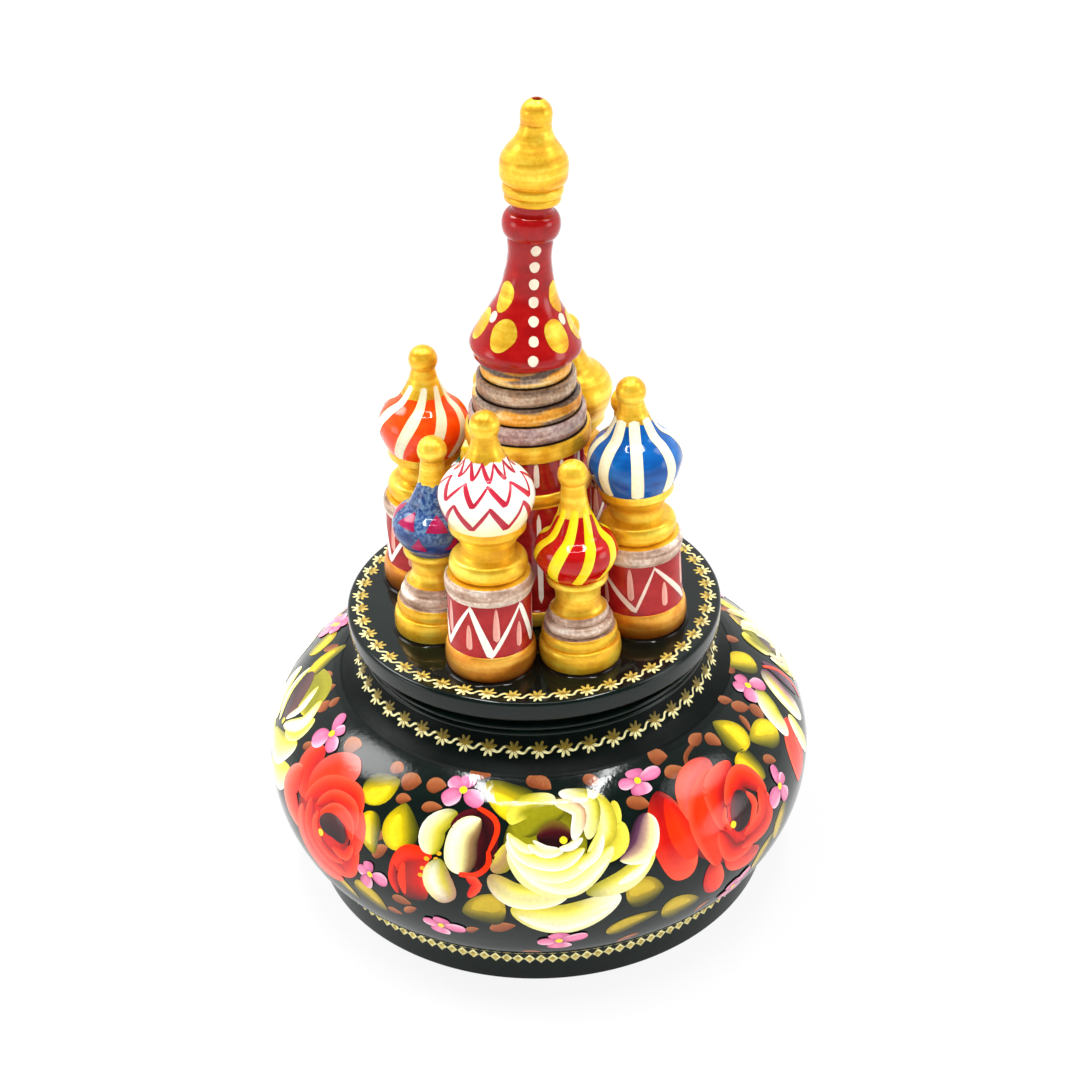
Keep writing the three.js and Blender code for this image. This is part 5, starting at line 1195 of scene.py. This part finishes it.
def centre_drum_paint(drum):
    """Two rows of white strokes, given by their lower and upper end and their number."""
    strokes = Paint(drum)
    for low, high, count in ((0.14, 0.7, 14), (0.84, 0.985, 13)):
        reach = [drum.run_at(TOP_Z + share * DRUM_H) for share in (low, high)]
        for i in range(count):
            turn = drum.facing() + 0.12 + i * 2 * pi / count
            strokes.ribbon(*upright(turn, *reach), 0.55, [WHITE, "f3e3d6"], (0.06, 0.15), 0.05)
    strokes.piece("centre_drum_strokes", "turntable", "red_lacquer")


SPIRE_COLUMNS, SPIRE_DOTS, SPIRE_CREAM = 3, 7, "f3dfca"
# The gold ovals between two columns: place, half width and half height
SPIRE_OVALS = ((0.4, 5, 2.1, 3.2), (-3.5, -2.2, 2.7, 3.4), (3.9, -2.2, 2.7, 3.4))


def spire_paint(surface):
    """Columns of dots up the spire and, between them, gold ovals round a pale dot."""
    dots, ovals = Paint(surface), Paint(surface)

    def up(share):
        return surface.run_at(share * SPIRE_H)

    for column in range(SPIRE_COLUMNS):
        turn = surface.facing() + column * 2 * pi / SPIRE_COLUMNS
        for k in range(SPIRE_DOTS):
            spot = Spot(turn + 0.15 + 0.02 * k, up(0.093 + 0.1068 * k), lift=0.05)
            dots.stroke(spot, *dot(0, 0, 1.0, SPIRE_CREAM, 1.08))
        between, run = turn + radians(65), up(0.27)
        for x, y, half, tall in SPIRE_OVALS:
            path = [(x, y - tall), (x, y), (x, y + tall)]
            ovals.stroke(Spot(between, run, lift=0.03), path, half, [GOLDEN, GOLDEN])
        dots.stroke(Spot(between, run, lift=0.07), *dot(-0.3, 0.5, 1.0, SPIRE_CREAM, 1.2))
    dots.piece("spire_dots", "turntable", "red_lacquer")
    ovals.piece("spire_ovals", "turntable", "gold_paint", GOLD)


# What is inside or underneath keeps its solid and gets its material

def dress_solids():
    looks = {"bare_wood": WOOD, "steel": STEEL, "spring_steel": BLUED, "zinc": ZINC, "brass": BRASS}
    for part in frame["record"]["subparts"]:
        look = looks.get(part["material_slot"])
        if look:
            mesh = frame["nodes"][part["node"]].data
            mesh.materials.clear()
            mesh.materials.append(look)


# Floor, light and camera

FLOOR_R, FLOOR_SIDES = 6.0, 96
# How white the floor is to each kind of ray. The rest is a plain floor that shows the object's shadow.
FLOOR_WHITE = {"Is Camera Ray": 0.88, "Is Glossy Ray": 0.45, "Is Transmission Ray": 0.45}
# Soft boxes: azimuth, elevation and strength
SOFT_BOXES = ((155, 47, 12), (0, 45, 5), (-165, 8, 3), (-15, 8, 3))
# Strip lamps overhead: place and size in metres, and power
STRIPS = (("left_strip", -0.177, 0.06, 0.045, 0.4, 2.4), ("right_strip", 0.178, 0.06, 0.045, 0.4, 2.4),
          ("front_strip", 0.0, -0.15, 0.33, 0.025, 0.9))
STRIP_Z = 0.8
FILL_STRENGTH, FILL_ANGLE, FILL_TILT = 0.85, 20, 52


def floor_look():
    look = Look("white_floor", "f2f2f2", roughness=0.9, specular=0.0)
    rays = look.node("ShaderNodeLightPath", {}).outputs
    part = 0.0
    for name, share in FLOOR_WHITE.items():
        part = combine(look.tree, "MAXIMUM", part, combine(look.tree, "MULTIPLY", rays[name], share))
    white = look.node("ShaderNodeEmission", {"Color": (1, 1, 1, 1), "Strength": 1.0}).outputs[0]
    mixed = look.node("ShaderNodeMixShader", {0: part, 1: look.shader.outputs[0], 2: white}).outputs[0]
    look.tree.links.new(mixed, look.tree.nodes["Material Output"].inputs["Surface"])
    return look.material


def add_floor():
    mesh = bpy.data.meshes.new("floor")
    turns = np.linspace(0, 2 * pi, FLOOR_SIDES, endpoint=False)
    rim = [(FLOOR_R * cos(t), FLOOR_R * sin(t), 0) for t in turns]
    mesh.from_pydata(rim, [], [list(range(FLOOR_SIDES))])
    mesh.materials.append(floor_look())
    floor = add_object("floor", mesh)


def add_world():
    """White all round, dimmer above the front, with soft boxes to the sides."""
    world = bpy.data.worlds.new("studio")
    bpy.context.scene.world = world
    world.use_nodes = True
    tree = world.node_tree
    place = tree.nodes.new("ShaderNodeTexCoord").outputs["Generated"]

    def glow(azimuth, elevation, start, end, high):
        """A smooth rise of strength round one direction, from the cosine start to the cosine end."""
        a, e = radians(azimuth), radians(elevation)
        way = (cos(a) * cos(e), sin(a) * cos(e), sin(e))
        towards = add_node(tree, "ShaderNodeVectorMath", {0: place, 1: way}, operation="DOT_PRODUCT")
        rise = {"Value": towards.outputs["Value"], "From Min": start, "From Max": end, "To Min": 0,
                "To Max": high}
        return add_node(tree, "ShaderNodeMapRange", rise, interpolation_type="SMOOTHSTEP").outputs["Result"]

    dim = combine(tree, "MULTIPLY", glow(-90, 40, -0.2, 0.75, 0.82), glow(0, 90, 0.06, 0.3, 1))
    strength = combine(tree, "SUBTRACT", 1.0, dim)
    for azimuth, elevation, level in SOFT_BOXES:
        strength = combine(tree, "ADD", strength, glow(azimuth, elevation, 0.965, 0.999, level))
    background = tree.nodes["Background"].inputs
    tree.links.new(strength, background["Strength"])
    background["Color"].default_value = (1, 1, 1, 1)


def add_lamp(name, kind, energy):
    light = bpy.data.lights.new(name, kind)
    light.energy = energy
    return add_object(name, light)


def add_lamps():
    for name, x, y, width, length, power in STRIPS:
        strip = add_lamp(name, "AREA", power)
        strip.location = (x, y, STRIP_Z)
        strip.data.shape = "RECTANGLE"
        strip.data.size, strip.data.size_y = width, length
    fill = add_lamp("front_fill", "SUN", FILL_STRENGTH)
    fill.data.angle = radians(FILL_ANGLE)
    fill.rotation_euler = (radians(FILL_TILT), 0, 0)
    fill.visible_glossy = False


def add_camera(pitch=31.53, yaw=0.30, roll=-1.89, focal=1800.0, frame_pixels=1080.0):
    data = bpy.data.cameras.new("camera")
    data.sensor_width = 36.0
    data.lens = focal / frame_pixels * data.sensor_width
    data.clip_start = 0.01
    p, y, f = (radians(v) for v in (pitch, yaw, roll))
    ahead = Vector((sin(y) * cos(p), cos(y) * cos(p), -sin(p)))
    right = Vector((cos(y), -sin(y), 0))
    up = right.cross(ahead)
    side = cos(f) * right + sin(f) * up
    top = cos(f) * up - sin(f) * right
    matrix = Matrix((side, top, -ahead)).transposed().to_4x4()
    matrix.translation = Vector(CAMERA_AT) * MM
    camera = add_object("camera", data)
    camera.matrix_world = matrix
    bpy.context.scene.camera = camera


add_camera()
add_floor()
add_world()
add_lamps()
bpy.context.scene.view_settings.view_transform = "Standard"
turned_piece("pot_turning", pot_zones(), POT_SIDES, "base", ("pot_body",))
disc = [(BLACK, table_outline())]
turned_piece("disc_turning", disc, POT_SIDES, "turntable", ("turntable_disc",))
add_garland()
disc_surface = Turned([(TABLE_R - TABLE_EDGE, TOP_Z), (30, TOP_Z)])
# The last argument is the tone of the upward rays: a slight painted shade on the disc
star_ring("disc_stars", disc_surface, TABLE_R - TABLE_EDGE - DISC_STARS_R, "turntable", "dcc05a")
neck_surface = Turned(neck())
# The neck stars' upward rays get a deep painted shade under the disc
star_ring("neck_stars", neck_surface, neck_surface.run_at(NECK_STARS_Z), "base", "7c6a1c")
lozenge_band()
add_towers()
add_centre()
dress_solids()
